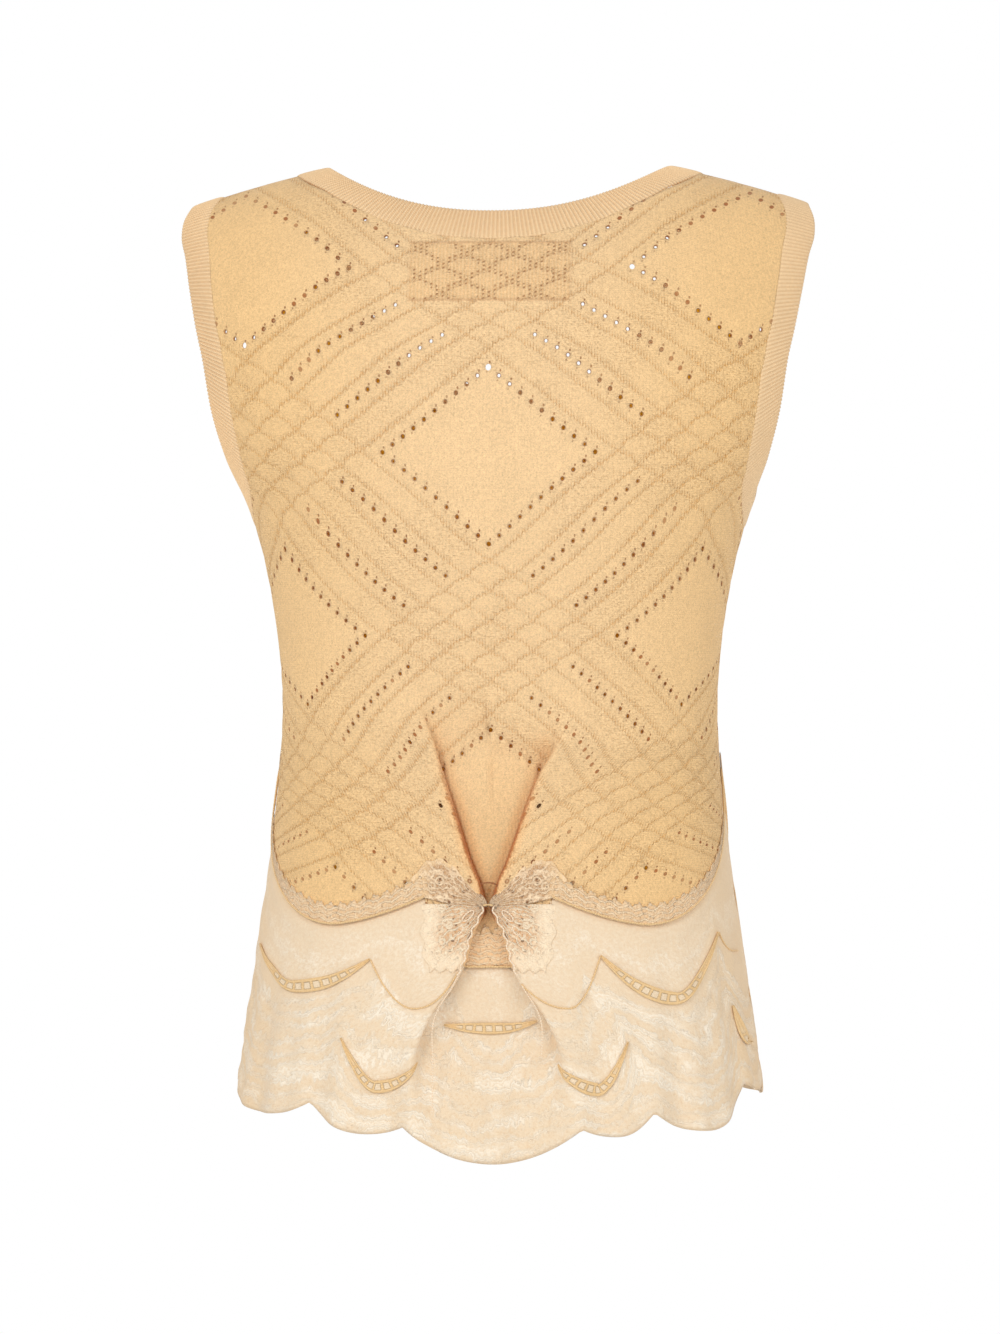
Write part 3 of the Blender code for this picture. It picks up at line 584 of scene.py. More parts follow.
def knit_hem(arc, flat, side, hand):
    """Level of the knit hem: a centre petal, deep at the back, and one long scallop to each side seam."""
    share = np.abs(arc) / quarter(KNIT_HEM, side)
    cusp, low = HEM_CUSP["share"], HEM_LOW["share"]
    inner = np.clip((low - share) / (low - cusp), 0.0, 1.0) ** HEM_CURVE["inner"]
    outer = np.clip((share - low) / (1.0 - low), 0.0, 1.0) ** HEM_CURVE["outer"]
    inner = inner * (HEM_CUSP["level"] - HEM_LOW["level"])
    outer = outer * (HEM_SIDE_LEVEL - HEM_LOW["level"])
    sides = HEM_LOW["level"] + inner + outer
    if side == FRONT:
        petal = HEM_CUSP["level"] - FRONT_PETAL_DROP * (1.0 - (share / cusp) ** 2)
        return np.where(share < cusp, petal, sides)
    out = np.abs(flat) / (cusp * quarter(KNIT_HEM, BACK) + hidden(KNIT_HEM, hand))
    petal = HEM_CUSP["level"] - PETAL_DROP * np.sqrt(np.clip(1.0 - out**PETAL_CURVE, 0.0, 1.0))
    return np.where(out < 1.0, petal, sides)


# ---- grids of flat places and levels
def back_places(level, hand):
    """Flat places of the columns of one half of the back: even shares above the pleat, its stops below."""
    start, flat_run, _ = pleat_sizes(level, hand)
    flat_run = np.maximum(flat_run, LEAST_RUN)
    whole = side_arc(level, BACK) + hidden(level, hand)
    cusp = HEM_CUSP["share"] * quarter(level, BACK) + hidden(level, hand)
    end = start + 2 * TURN_LENGTH + flat_run
    cusp = np.maximum(cusp, end + 2 * TURN_LENGTH)
    stops = (0.0 * start, start, start + TURN_LENGTH, end - TURN_LENGTH, end, cusp, whole)
    counts = (UNDER_STEPS, TURN_STEPS, RUN_STEPS, TURN_STEPS, PETAL_STEPS, BACK_STEPS - PLEAT_STEPS)
    places = [stops[0]]
    for low, high, count in zip(stops[:-1], stops[1:], counts):
        places += [low + (high - low) * k / count for k in range(1, count + 1)]
    return np.stack(places, axis=-1)


def halves(left, right, sign=1.0):
    """A row or grid from the left edge to the right one: the left half is turned round and set before the
    right one, and the column that both start with is kept once. A sign of -1 mirrors the left half."""
    return np.concatenate([sign * left[..., :0:-1], right], axis=-1)


def own_column(table):
    """Entry k of column k: the columns are the last but one index of the table."""
    k = np.arange(table.shape[-2])
    return table[..., k, k]


def ease(value, low, high):
    """Smoothstep from 0 at low to 1 at high: 3 t^2 - 2 t^3."""
    t = np.clip((value - low) / (high - low), 0.0, 1.0)
    return t * t * (3.0 - 2.0 * t)


def to_hem(rows, top, hem):
    """Levels of all rows: they fade from the top edge's shape to level rows, and then take the hem's."""
    drops = np.linspace(0.0, -KNIT_HEM, rows)[:, None]
    fade = np.clip(1.0 - drops / FADE_DROP, 0.0, 1.0)
    ramp = np.clip((drops - RAMP_DROP) / (-KNIT_HEM - RAMP_DROP), 0.0, 1.0)
    ramp = np.where(hem < KNIT_HEM, ramp**HEM_RAMP, ramp)
    return -drops + top * fade + (hem - KNIT_HEM) * ramp


def back_half(hand):
    """Flat places and levels of one half of the back knit, rows from the top edge to the hem."""
    arc, top = back_neck(np.sin(np.linspace(0.0, math.pi / 2, NECK_STEPS + 1)), 1.0)
    shoulder = np.linspace(arc[-1], side_arc(0.0, BACK), SHOULDER_STEPS + 1)[1:]
    shares = np.concatenate([arc, shoulder]) / side_arc(0.0, BACK)
    top = np.concatenate([top, np.zeros(SHOULDER_STEPS)])
    at_hem = np.full(BACK_STEPS + 1, KNIT_HEM)
    flat = own_column(back_places(at_hem, hand))
    hem = knit_hem(pleat(flat * hand, at_hem)[0], flat, BACK, hand)
    level = to_hem(KNIT_ROWS, top, hem)
    whole = side_arc(level, BACK) + hidden(level, hand)
    fade = np.clip(-level / FADE_DROP, 0.0, 1.0)
    even = np.linspace(0.0, 1.0, BACK_STEPS + 1)
    spread = (shares * (1.0 - fade) + even * fade) * whole
    gathered = ease(level, *GATHER_LEVELS)
    places = spread * (1.0 - gathered) + own_column(back_places(level, hand)) * gathered
    return calmed(places, level, BACK), level


def back_grid():
    """Flat places and levels of the whole back knit, columns from left to right."""
    left_flat, left_level = back_half(LEFT)
    right_flat, right_level = back_half(RIGHT)
    return halves(left_flat, right_flat, -1.0), halves(left_level, right_level)


def front_grid():
    """Flat places and levels of the whole front knit. Its upper rows start at the neck seam."""
    drop = neck_size(FRONT, 1.0)[1]
    share = np.linspace(0.0, 1.0, FRONT_STEPS + 1)
    width = quarter(KNIT_HEM, FRONT)
    hem = knit_hem(share * width, share * width, FRONT, RIGHT)
    level = to_hem(KNIT_ROWS, np.zeros(len(share)), hem)
    neck = front_neck(np.minimum(-level / drop, 1.0), 1.0)[0]
    flat = calmed(neck + (side_arc(level, FRONT) - neck) * share, level, FRONT)
    return both(flat, -1.0), both(level)


def both(half, sign=1.0):
    """A grid of the right half beside its mirror image. sign is -1 for distances from the centre.

    Both halves keep their own column at the centre, because the neck lies between them.
    """
    return np.concatenate([sign * half[:, ::-1], half], axis=1)


# ---- lattice of the knit
def lattice(flat, level, side):
    """Place in the diamond lattice: p = s/W + t/H and q = s/W - t/H, where s and t are stretched."""
    if side == BACK:
        arc = np.abs(pleat(flat, level)[0])
        out = arc**2 / (arc + STRETCH_REACH)
        across = flat + np.sign(flat) * out * smooth(level, STRETCH, 3)
        up = smooth(level, STRETCH, 1) + out * smooth(level, STRETCH, 2)
    else:
        across = flat
        up = smooth(level, STRETCH, 1) + FRONT_PATTERN_RISE
    return across / DIAMOND_WIDTH + up / DIAMOND_HEIGHT, across / DIAMOND_WIDTH - up / DIAMOND_HEIGHT


def bands(place):
    """Which of the six bands a lattice coordinate lies in, counted from 0 to 6, and whether it is in one."""
    band = (place - np.floor(place) - DIAMOND_HALF) / BAND
    return band, (band > 0.0) & (band < 6.0)


def pillows(p, q):
    """Relief of the knit: |cos(pi * band)|^0.6 across the bands of p, times the same for q."""
    (band_p, in_p), (band_q, in_q) = bands(p), bands(q)

    def over(band, inside, other, sign):
        """Relief of one direction, arched where the bands of the other cross it."""
        arch = np.where(np.abs(other - 3.0) < 2.5, np.sin(math.pi * (other - 0.5)) ** 2, 0.0) * ARCH
        return np.where(inside, np.abs(np.cos(math.pi * (band + sign * arch))) ** 0.6, 1.0)

    return over(band_p, in_p, band_q, -1.0) * over(band_q, in_q, band_p, 1.0)


def eyelet_places():
    """Lattice places of all eyelets and whether each is the large one at a corner of a plain diamond.

    Rows of eleven run along bands 0, 2, 4 and 6 in each direction, beside every plain diamond.
    """
    found = {}
    for m in range(-4, 5):
        for n in range(-4, 5):
            for band in EYELET_BANDS:
                for k in range(-5, 6):
                    line, step = DIAMOND_HALF + band * BAND, k * EYELET_STEP
                    corner = band in (0, 6) and abs(k) == 5
                    for place in ((m + line, n + step), (m + step, n + line)):
                        found[round(place[0], 4), round(place[1], 4)] = corner
    places = np.array(list(found))
    return places[:, 0], places[:, 1], np.array(list(found.values()))


def punch(flat, level, side, size):
    """Move a grid so that an eyelet lies at each lattice place, and say which vertices are their centres.

    The nearest vertex goes to the place, by two Newton steps on (p, q), and its eight neighbours go to
    an ellipse round it. The four faces that meet at the vertex are left out of the mesh.
    """
    p, q = lattice(flat, level, side)
    step = 0.0002
    want_p, want_q, corner = eyelet_places()
    rows, columns = flat.shape
    arc = np.abs(flat)
    steep = np.linalg.norm(on_body(arc, level - step, side) - on_body(arc, level, side), axis=-1)
    steep = np.clip(steep / step, 1.0, 4.0)
    centres = []
    taken = np.zeros(flat.shape, dtype=bool)
    for wp, wq, large in zip(want_p, want_q, corner):
        across = (p - wp + q - wq) * DIAMOND_WIDTH / 2
        up = (p - wp - q + wq) * DIAMOND_HEIGHT / 2
        away = across**2 + up**2
        i, j = np.unravel_index(np.argmin(away), away.shape)
        inside = 3 <= i < rows - 4 and 3 <= j < columns - 3
        pinched = side == BACK and level[i, j] < PINCH["top"] and abs(flat[i, j]) < PINCH["reach"]
        kind = LARGE_EYELET if large else SMALL_EYELET
        if inside and not pinched and away[i, j] < EYELET_REACH**2:
            near = flat[i - 1 : i + 2, j - 1 : j + 2]
            even = np.diff(near, axis=1).min() > kind["apart"]
            even = even and np.abs(np.diff(near, axis=0)).max() < kind["slant"]
            if even and not taken[i - 1 : i + 2, j - 1 : j + 2].any():
                centres.append((i, j, wp, wq, kind["grows"]))
                taken[i - 1 : i + 2, j - 1 : j + 2] = True
    i, j, target_p, target_q, grows = (column(centres, k) for k in range(5))
    s, l = flat[i, j], level[i, j]
    for _ in range(2):
        p0, q0 = lattice(s, l, side)
        ps, qs = lattice(s + step, l, side)
        pl, ql = lattice(s, l + step, side)
        a, b, c, d = (ps - p0) / step, (pl - p0) / step, (qs - q0) / step, (ql - q0) / step
        det = a * d - b * c
        s = s + (d * (target_p - p0) - b * (target_q - q0)) / det
        l = l + (a * (target_q - q0) - c * (target_p - p0)) / det
    flat, level = flat.copy(), level.copy()
    grows = grows * np.where(level[i, j] > HIGH_EYELETS["level"], HIGH_EYELETS["grows"], 1.0)
    for down, right in AROUND:
        length = math.hypot(down, right)
        flat[i + down, j + right] = s + right / length * size[0] * grows
        level[i + down, j + right] = l - down / length * size[1] * grows / steep[i, j]
    flat[i, j], level[i, j] = s, l
    open_faces = np.zeros((rows - 1, columns - 1), dtype=bool)
    for down, right in ((-1, -1), (-1, 0), (0, -1), (0, 0)):
        open_faces[i + down, j + right] = True
    return flat, level, open_faces


def creased(arc, level, table):
    """Sum of soft creases: height * exp(-(distance / width)^2) * sin(pi * part along it)^0.6."""
    total = np.zeros_like(arc)
    for x0, z0, x1, z1, width, height in table:
        dx, dz = x1 - x0, z1 - z0
        along = ((arc - x0) * dx + (level - z0) * dz) / (dx * dx + dz * dz)
        bow = 0.06 * math.hypot(dx, dz) * np.sin(math.pi * np.clip(along, 0.0, 1.0))
        away = ((arc - x0) * dz - (level - z0) * dx) / math.hypot(dx, dz) - bow
        taper = np.sin(math.pi * np.clip(along, 0.0, 1.0)) ** 0.6
        total = total + height * np.exp(-((away / width) ** 2)) * taper
    return total


# ---- meshes
def grid_piece(name, points, layers, material, closed=(False, False), missing=None, capped=False):
    """Object of a grid of points, which may be closed either way, lack faces, or have caps on its end rings.

    layers are UV maps, with one more row or column where the grid is closed.
    """
    rows, columns = points.shape[:2]
    index = np.arange(rows * columns).reshape(rows, columns)
    if closed[1]:
        index = np.concatenate([index, index[:, :1]], axis=1)
    if closed[0]:
        index = np.concatenate([index, index[:1]], axis=0)
    kept = np.ones((index.shape[0] - 1, index.shape[1] - 1), dtype=bool) if missing is None else ~missing

    def corners(grid):
        """Values at the four corners of every kept face."""
        four = (grid[:-1, :-1], grid[1:, :-1], grid[1:, 1:], grid[:-1, 1:])
        return np.stack(four, axis=2)[kept]

    faces = corners(index)
    used, faces = np.unique(faces, return_inverse=True)
    faces = faces.reshape(-1, 4).tolist()
    spare = []
    if capped:
        faces += [list(range(columns))[::-1], [(rows - 1) * columns + k for k in range(columns)]]
        spare = np.zeros(4 * columns)
    mesh = bpy.data.meshes.new(name)
    mesh.from_pydata(points.reshape(-1, 3)[used].tolist(), [], faces)
    for layer, values in layers.items():
        uv = np.concatenate([corners(values).reshape(-1), spare]).astype(np.float32)
        mesh.uv_layers.new(name=layer).data.foreach_set("uv", uv)
    mesh.materials.append(material)
    mesh.shade_smooth()
    piece = bpy.data.objects.new(name, mesh)
    bpy.context.scene.collection.objects.link(piece)
    return piece


def walled(piece, wall):
    """Give an open sheet its wall."""
    solidify = piece.modifiers.new("wall", "SOLIDIFY")
    solidify.thickness = wall
    solidify.offset = 0.0
    return piece


def merged(piece):
    """Join the vertices that lie at the same point."""
    form = bmesh.new()
    form.from_mesh(piece.data)
    bmesh.ops.remove_doubles(form, verts=form.verts, dist=0.00002)
    form.to_mesh(piece.data)
    form.free()
    return piece


def run_length(points):
    """Distance along a line of points to each of them."""
    return np.concatenate([[0.0], np.cumsum(np.linalg.norm(np.diff(points, axis=0), axis=-1))])


def pair(first, second):
    """Two arrays as the two coordinates of a UV map."""
    return np.stack(np.broadcast_arrays(first, second), axis=-1)


def tube_points(path, normals, radius, sides, twist=0.0):
    """Tube round a path: centre + radius * (cos(a) * normal + sin(a) * side), for sides angles a."""
    forward = np.gradient(path, axis=0)
    forward /= np.linalg.norm(forward, axis=-1, keepdims=True)
    side = np.cross(forward, normals)
    side /= np.linalg.norm(side, axis=-1, keepdims=True)
    up = np.cross(side, forward)
    angle = np.linspace(0.0, 2.0 * math.pi, sides, endpoint=False)
    length = run_length(path)
    strands = 1.0 + twist * np.cos(2.0 * angle[None] + 2.0 * math.pi * length[:, None] / 0.0032)
    size = np.asarray(radius)[..., None] * strands if np.ndim(radius) else radius * strands
    ring = np.cos(angle)[None, :, None] * up[:, None] + np.sin(angle)[None, :, None] * side[:, None]
    return path[:, None] + size[..., None] * ring, length


def cord_piece(name, path, normals, radius, material, sides=8):
    """Twisted cord along a path, drawn in to a point at both ends."""
    ends = np.linspace(0.0, 1.0, len(path))
    taper = np.sqrt(np.clip(np.minimum(ends, 1.0 - ends) * 40.0, 0.02, 1.0))
    points, length = tube_points(path, normals, radius * taper, sides, 0.14)
    uv = pair(length[:, None], np.linspace(0.0, 1.0, sides + 1))
    return grid_piece(name, points, {"cloth": uv}, material, closed=(False, True), capped=True)


def joined(name, pieces):
    """One object of several like pieces."""
    bpy.ops.object.select_all(action="DESELECT")
    for piece in pieces:
        piece.select_set(True)
    bpy.context.view_layer.objects.active = pieces[0]
    bpy.ops.object.join()
    pieces[0].name = name
    return pieces[0]


def place(piece, slot, *nodes):
    """The piece rides on the one body and stands for these CAD nodes. slot is not used."""
    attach(piece, "root")
    if nodes:
        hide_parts(*nodes)
    return piece


# ---- shader maths
class Fibre:
    """A socket of a node tree, so that shader maths is written as Python."""

    def __init__(self, tree, socket=None):
        self.tree = tree
        self.socket = socket

    def node(self, kind, settings=None, values=None, output=0):
        """A new node: its settings first, then the values or links of its sockets. Gives one output."""
        made = self.tree.nodes.new(kind)
        for key, value in (settings or {}).items():
            setattr(made, key, value)
        for key, value in (values or {}).items():
            if isinstance(value, Fibre):
                self.tree.links.new(value.socket, made.inputs[key])
            else:
                made.inputs[key].default_value = value
        return Fibre(self.tree, made.outputs[output])

    def maths(self, operation, first, second=0.0, third=0.0):
        """A Math node."""
        return self.node("ShaderNodeMath", {"operation": operation}, {0: first, 1: second, 2: third})

    def __add__(self, other):
        return self.maths("ADD", self, other)

    __radd__ = __add__

    def __sub__(self, other):
        return self.maths("SUBTRACT", self, other)

    def __rsub__(self, other):
        return self.maths("SUBTRACT", other, self)

    def __mul__(self, other):
        return self.maths("MULTIPLY", self, other)

    __rmul__ = __mul__

    def __truediv__(self, other):
        return self.maths("DIVIDE", self, other)

    def __pow__(self, other):
        return self.maths("POWER", self, other)

    def __neg__(self):
        return self.maths("MULTIPLY", self, -1.0)

    def __abs__(self):
        return self.maths("ABSOLUTE", self)

    def fraction(self):
        """Part after the point, from 0 to 1."""
        return self.maths("FRACT", self)

    def wave(self, pitch=1.0):
        """0.5 + 0.5 cos(2 pi value / pitch)."""
        return self.maths("COSINE", self * (2.0 * math.pi / pitch)) * 0.5 + 0.5

    def above(self, limit):
        """1 where the value is more than the limit, else 0."""
        return self.maths("GREATER_THAN", self, limit)

    def most(self, other):
        """The larger of two values."""
        return self.maths("MAXIMUM", self, other)

    def rise(self, low, high):
        """Smoothstep from 0 at low to 1 at high."""
        return self.node(
            "ShaderNodeMapRange", {"interpolation_type": "SMOOTHSTEP"},
            {"Value": self, "From Min": low, "From Max": high, "To Min": 0.0, "To Max": 1.0})

    def near(self, width):
        """1 where the value is 0, falling smoothly to 0 at width."""
        return 1.0 - abs(self).rise(width * 0.25, width)

    def tuned(self, **values):
        """The colour with another saturation or value."""
        return self.node("ShaderNodeHueSaturation", {}, {**values, "Color": self})

    def mix(self, first, second):
        """Colour between first, at 0, and second, at 1."""
        return self.node("ShaderNodeMix", {"data_type": "RGBA"}, {0: self, 6: first, 7: second}, 2)


def linear(colour):
    """Display colour as linear light: ((c + 0.055) / 1.055)^2.4."""
    return tuple(((c + 0.055) / 1.055) ** 2.4 for c in colour[:3])


def shade(colour, red=1.0, green=None, blue=None):
    """A colour with its channels multiplied, for a colour socket. A lone number serves all three."""
    factors = (red, red if green is None else green, red if blue is None else blue)
    return tuple(c * factor for c, factor in zip(colour, factors)) + (1.0,)


def cloth_material(name, look, given, roughness=0.85, sheen=0.12):
    """Fabric material. look(start, *given) gives its colour, its height, and the depth of its relief."""
    material = bpy.data.materials.new(name)
    material.use_nodes = True
    tree = material.node_tree
    shader = tree.nodes["Principled BSDF"]
    shader.inputs["Roughness"].default_value = roughness
    shader.inputs["Specular IOR Level"].default_value = 0.25
    shader.inputs["Sheen Weight"].default_value = sheen
    shader.inputs["Sheen Roughness"].default_value = 0.6
    colour, height, depth = look(Fibre(tree), *given)
    tree.links.new(colour.socket, shader.inputs["Base Color"])
    bump = height.node("ShaderNodeBump", {}, {"Strength": 1.0, "Distance": depth, "Height": height})
    tree.links.new(bump.socket, shader.inputs["Normal"])
    return material


def object_place(start):
    """Object coordinates."""
    return start.node("ShaderNodeTexCoord", {}, {}, 3)


def noise(place_at, scale, detail, roughness=0.5):
    """Noise texture."""
    values = {"Vector": place_at, "Scale": scale, "Detail": detail, "Roughness": roughness}
    return place_at.node("ShaderNodeTexNoise", {}, values)


def voronoi(place_at, scale, randomness, feature="F1"):
    """Voronoi texture: the distance to the nearest point, or to the nearest cell's edge."""
    values = {"Vector": place_at, "Scale": scale, "Randomness": randomness}
    return place_at.node("ShaderNodeTexVoronoi", {"feature": feature}, values)


def uv_pair(start, name):
    """Both coordinates of a UV map."""
    uv = start.node("ShaderNodeUVMap", {"uv_map": name})
    split = uv.node("ShaderNodeSeparateXYZ", {}, {"Vector": uv})
    return split, Fibre(start.tree, split.socket.node.outputs[1]), uv


def eyelet_marks(band_p, band_q, p, q):
    """Slits at both sides of every eyelet, and the shade round it, as distances from ellipses.

    band_p and band_q count the bands, and eyelets lie on every second edge of them, at even steps.
    """
    slits = rims = None
    for band, along, sign in ((band_p, q, 1.0), (band_q, p, -1.0)):
        off_line = ((band / 2.0 + 0.5).fraction() - 0.5) * (2.0 * BAND)
        from_middle = (along + 0.5).fraction() - 0.5
        off_step = ((from_middle / EYELET_STEP + 0.5).fraction() - 0.5) * EYELET_STEP
        in_row = (DIAMOND_HALF + EYELET_STEP * 0.4 - abs(from_middle)).above(0.0)
        in_row = in_row * (band + 0.6).above(0.0) * (6.6 - band).above(0.0)
        right = (off_line + off_step) * (DIAMOND_WIDTH / 2.0)
        up = (off_line - off_step) * (sign * DIAMOND_HEIGHT / 2.0)

        def ellipse(x, z, width, height):
            """Squared distance from the centre of an ellipse, in its own half sizes."""
            return ((right - x) / width) ** 2.0 + ((up - z) / height) ** 2.0

        upper = 1.0 - ellipse(0.0009, 0.0029, 0.00052, 0.00078).rise(0.4, 1.3)
        lower = 1.0 - ellipse(-0.0008, -0.0028, 0.00045, 0.00060).rise(0.4, 1.3)
        slit = upper.most(lower * 0.6) * in_row
        rim = (1.0 - ellipse(0.0, 0.0, 0.00135, 0.00150).rise(0.60, 1.1)) * in_row
        slits = slits.most(slit) if slits else slit
        rims = rims.most(rim) if rims else rim
    return slits, rims


def label_marks(across, down, to_p, in_p, to_q, in_q, fuzz):
    """What shows of the label through the knit: dots between its threads, and its edge.

    Gives the share inside, the dots, the hem along the edge, and the distance from the edge.
    """
    top, foot = (float(down_cloth(LABEL[key], BACK)) for key in ("top", "foot"))
    edge_x = abs(across) - LABEL["half_width"]
    edge_z = abs(down - (top + foot) / 2) - (foot - top) / 2
    edge = edge_x.most(edge_z) + (fuzz - 0.5) * 0.0016
    inside = (-edge).rise(0.0, 0.0012)
    dot = across.wave(LABEL_ROWS["across"]) * (down + across * 0.38).wave(LABEL_ROWS["down"])
    dot = dot.rise(0.45, 0.80)
    rows = (abs(to_p) - 0.0009).near(0.0017) * in_p
    rows = rows.most((abs(to_q) - 0.0009).near(0.0017) * in_q)
    hems = edge.near(0.0013) * ((edge_z - edge_x).above(0.0) * 0.18 + 0.10)
    return inside, rows.rise(0.05, 0.40) * dot * inside, hems, edge


def knit_look(start, colour, wale, course, labelled):
    """Fine knit: columns of V stitches, purled valleys between the bands, slits beside the eyelets.

    The panel with the label also shows it, darker, and shades the edges and the under layer of the pleat.
    """
    across, down, _ = uv_pair(start, "cloth")
    p, q, _ = uv_pair(start, "lattice")
    where = object_place(start)
    broad = noise(where, 30.0, 4.0, 0.6)
    fuzz = noise(where, 520.0, 3.0, 0.7)
    fine = noise(where, 1150.0, 1.0)
    leg = abs((across / wale).fraction() - 0.5)
    loop = ((down / course) + leg * 1.1).wave()
    stitch = (1.0 - abs(leg * 4.0 - 1.0)) ** 0.6 * (loop * 0.55 + 0.45)
    stroke = (across / wale * 0.5 + 0.25).wave(0.5)

    band_p = (p.fraction() - DIAMOND_HALF) / BAND
    band_q = (q.fraction() - DIAMOND_HALF) / BAND
    in_p = band_p.above(0.0) * (6.0 - band_p).above(0.0)
    in_q = band_q.above(0.0) * (6.0 - band_q).above(0.0)
    arch_p = (1.0 - (band_q - 0.5).wave()) * (2.5 - abs(band_q - 3.0)).above(0.0) * ARCH
    arch_q = (1.0 - (band_p - 0.5).wave()) * (2.5 - abs(band_p - 3.0)).above(0.0) * ARCH
    # distance in metres from the nearest valley of each direction
    wander = (fuzz - 0.5) * 0.0038 + ((across / (wale * 2.0)).wave() - 0.5) * 0.0014
    to_p = ((band_p - arch_p).fraction() - 0.5) * BAND_WIDTH + wander
    to_q = ((band_q + arch_q).fraction() - 0.5) * BAND_WIDTH + wander
    knitted = 1.0 - down.rise(*(float(down_cloth(level, BACK)) for level in KNIT_ENDS))
    rough = fuzz.rise(0.36, 0.54) * 0.75 + 0.25
    strokes = stroke.rise(0.45, 0.90) * (broad.rise(0.38, 0.56) * 0.5 + 0.5)

    def valley(distance, inside, aside, threads):
        """Dark valley, and beside it the comb of its purled threads."""
        comb = (distance + aside).near(0.0028) * inside * strokes * rough * 0.55
        return distance.near(0.0011) * inside * threads * rough, comb

    valley_q, comb_q = valley(to_q, in_q, 0.0008, stroke * 0.45 + 0.55)
    valley_p, comb_p = valley(to_p, in_p, -0.0008, stroke * 0.60 + 0.30)
    dents = (valley_q.most(comb_q)).most((valley_p * 0.9).most(comb_p)) * knitted
    glints = (to_q.near(0.0034) * in_q).most(to_p.near(0.0034) * in_p)
    glints = glints * (1.0 - stroke).rise(0.55, 0.95) * rough
    ridge = ((to_q - 0.0016).near(0.0020) * in_q).most((to_p + 0.0016).near(0.0020) * in_p * 0.7)
    slits, rims = (marks * knitted for marks in eyelet_marks(band_p, band_q, p, q))

    base = shade(colour)
    deep = shade(colour, 0.78, 0.58, 0.39)
    brown = shade(colour, 0.40, 0.155, 0.035)
    full_red = 1.0 / colour[0]
    # painted highlights beside the valleys, where the purled threads would catch the light
    base = (glints * 0.6).mix(base, shade(colour, full_red, 1.09, 1.16))
    grid = start.node("ShaderNodeCombineXYZ", {}, {0: across * 0.6, 1: down})
    pits = noise(grid, 900.0, 2.0).rise(0.50, 0.68) * in_p.most(in_q) * knitted * broad.rise(0.36, 0.58)
    # painted shade in the valleys, their combs and the pits, and darker between the stitch legs
    base = (dents * 0.62 + pits * 0.20 + (1.0 - stitch) * 0.30).mix(base, deep)
    # painted shade towards the sides, where the body turns away from the light: darker and more saturated
    side_shade = abs(across).rise(0.030, 0.165) * 0.75
    base = side_shade.mix(base, base.tuned(Saturation=1.14, Value=0.965))
    tan = (broad + (fuzz - 0.5) * 0.3).rise(0.40, 0.60) * 0.35 + 0.65
    base = ((slits * 0.75).most(rims * 0.9) * tan).mix(base, brown)
    # the inner face is warmer, most of all the front's, as light reaches it through the yarn
    normal = start.node("ShaderNodeTexCoord", {}, {}, 1)
    beside = start.node("ShaderNodeVectorMath", {"operation": "MULTIPLY"}, {0: where, 1: (0.42, 1.0, 0.0)})
    facing = start.node("ShaderNodeVectorMath", {"operation": "DOT_PRODUCT"}, {0: beside, 1: normal}, 1)
    base = (-facing).rise(0.020, 0.040).mix(base, base.tuned(Saturation=1.10 if labelled else 1.50))
    height = stitch * 0.55 - dents * 0.8 - pits * 0.6 + ridge * knitted * 0.35
    height = height - slits - rims * 0.5 + fuzz * 0.7
    if labelled:
        inside, dots, hems, edge = label_marks(across, down, to_p, in_p, to_q, in_q, fuzz)
        base = (inside * dents * 0.50).mix(base, shade(colour, 0.92))
        base = (inside * (0.09 + across.wave(LABEL_ROWS["threads"]) * 0.28)).mix(base, deep)
        base = (dots * 0.62 + hems).mix(base, brown)
        height = height - dots * 0.9 + edge.near(0.0016) * 0.4
        # warm shade along the edges of the pleat and on the layer under them
        past, share, _ = uv_pair(start, "fold")
        ragged = past + (fuzz - 0.5) * 0.0024
        under = (-past).rise(0.0, 0.0040) * 0.24
        glow = (ragged + 0.0012).near(0.0085) * 0.45
        base = (under * share).mix(base, shade(colour, 0.70, 0.54, 0.29))
        base = (glow * share).mix(base, shade(colour, full_red, 0.74, 0.50))
        line = (ragged - 0.0002).near(0.0024)
        base = (line * share * 0.90).mix(base, shade(colour, 0.50, 0.19, 0.05))
    tone = broad * 0.12 + fuzz * 0.48 + fine * 0.52 + 0.458
    return base.tuned(Value=tone), height, 0.0006


def rib_look(start, colour, rib):
    """Rib: the ribs are in the mesh. Fine stitches run along each of them."""
    along, across, _ = uv_pair(start, "cloth")
    where = object_place(start)
    broad = noise(where, 30.0, 4.0)
    fuzz = noise(where, 620.0, 3.0, 0.7)
    groove = 1.0 - along.wave(rib)
    leg = abs((along / rib).fraction() - 0.5)
    loop = ((across / 0.0013) + leg * 1.2).wave()
    # painted shade in the grooves between the ribs
    base = (groove ** 2.0 * 0.42 + (1.0 - loop) * 0.08).mix(
        shade(colour), shade(colour, 0.72, 0.60, 0.48))
    tone = broad * 0.12 + fuzz * 0.26 + 0.83
    base = base.tuned(Value=tone)
    return base, loop * 0.35 - groove * 0.7 + fuzz * 0.5, 0.0005


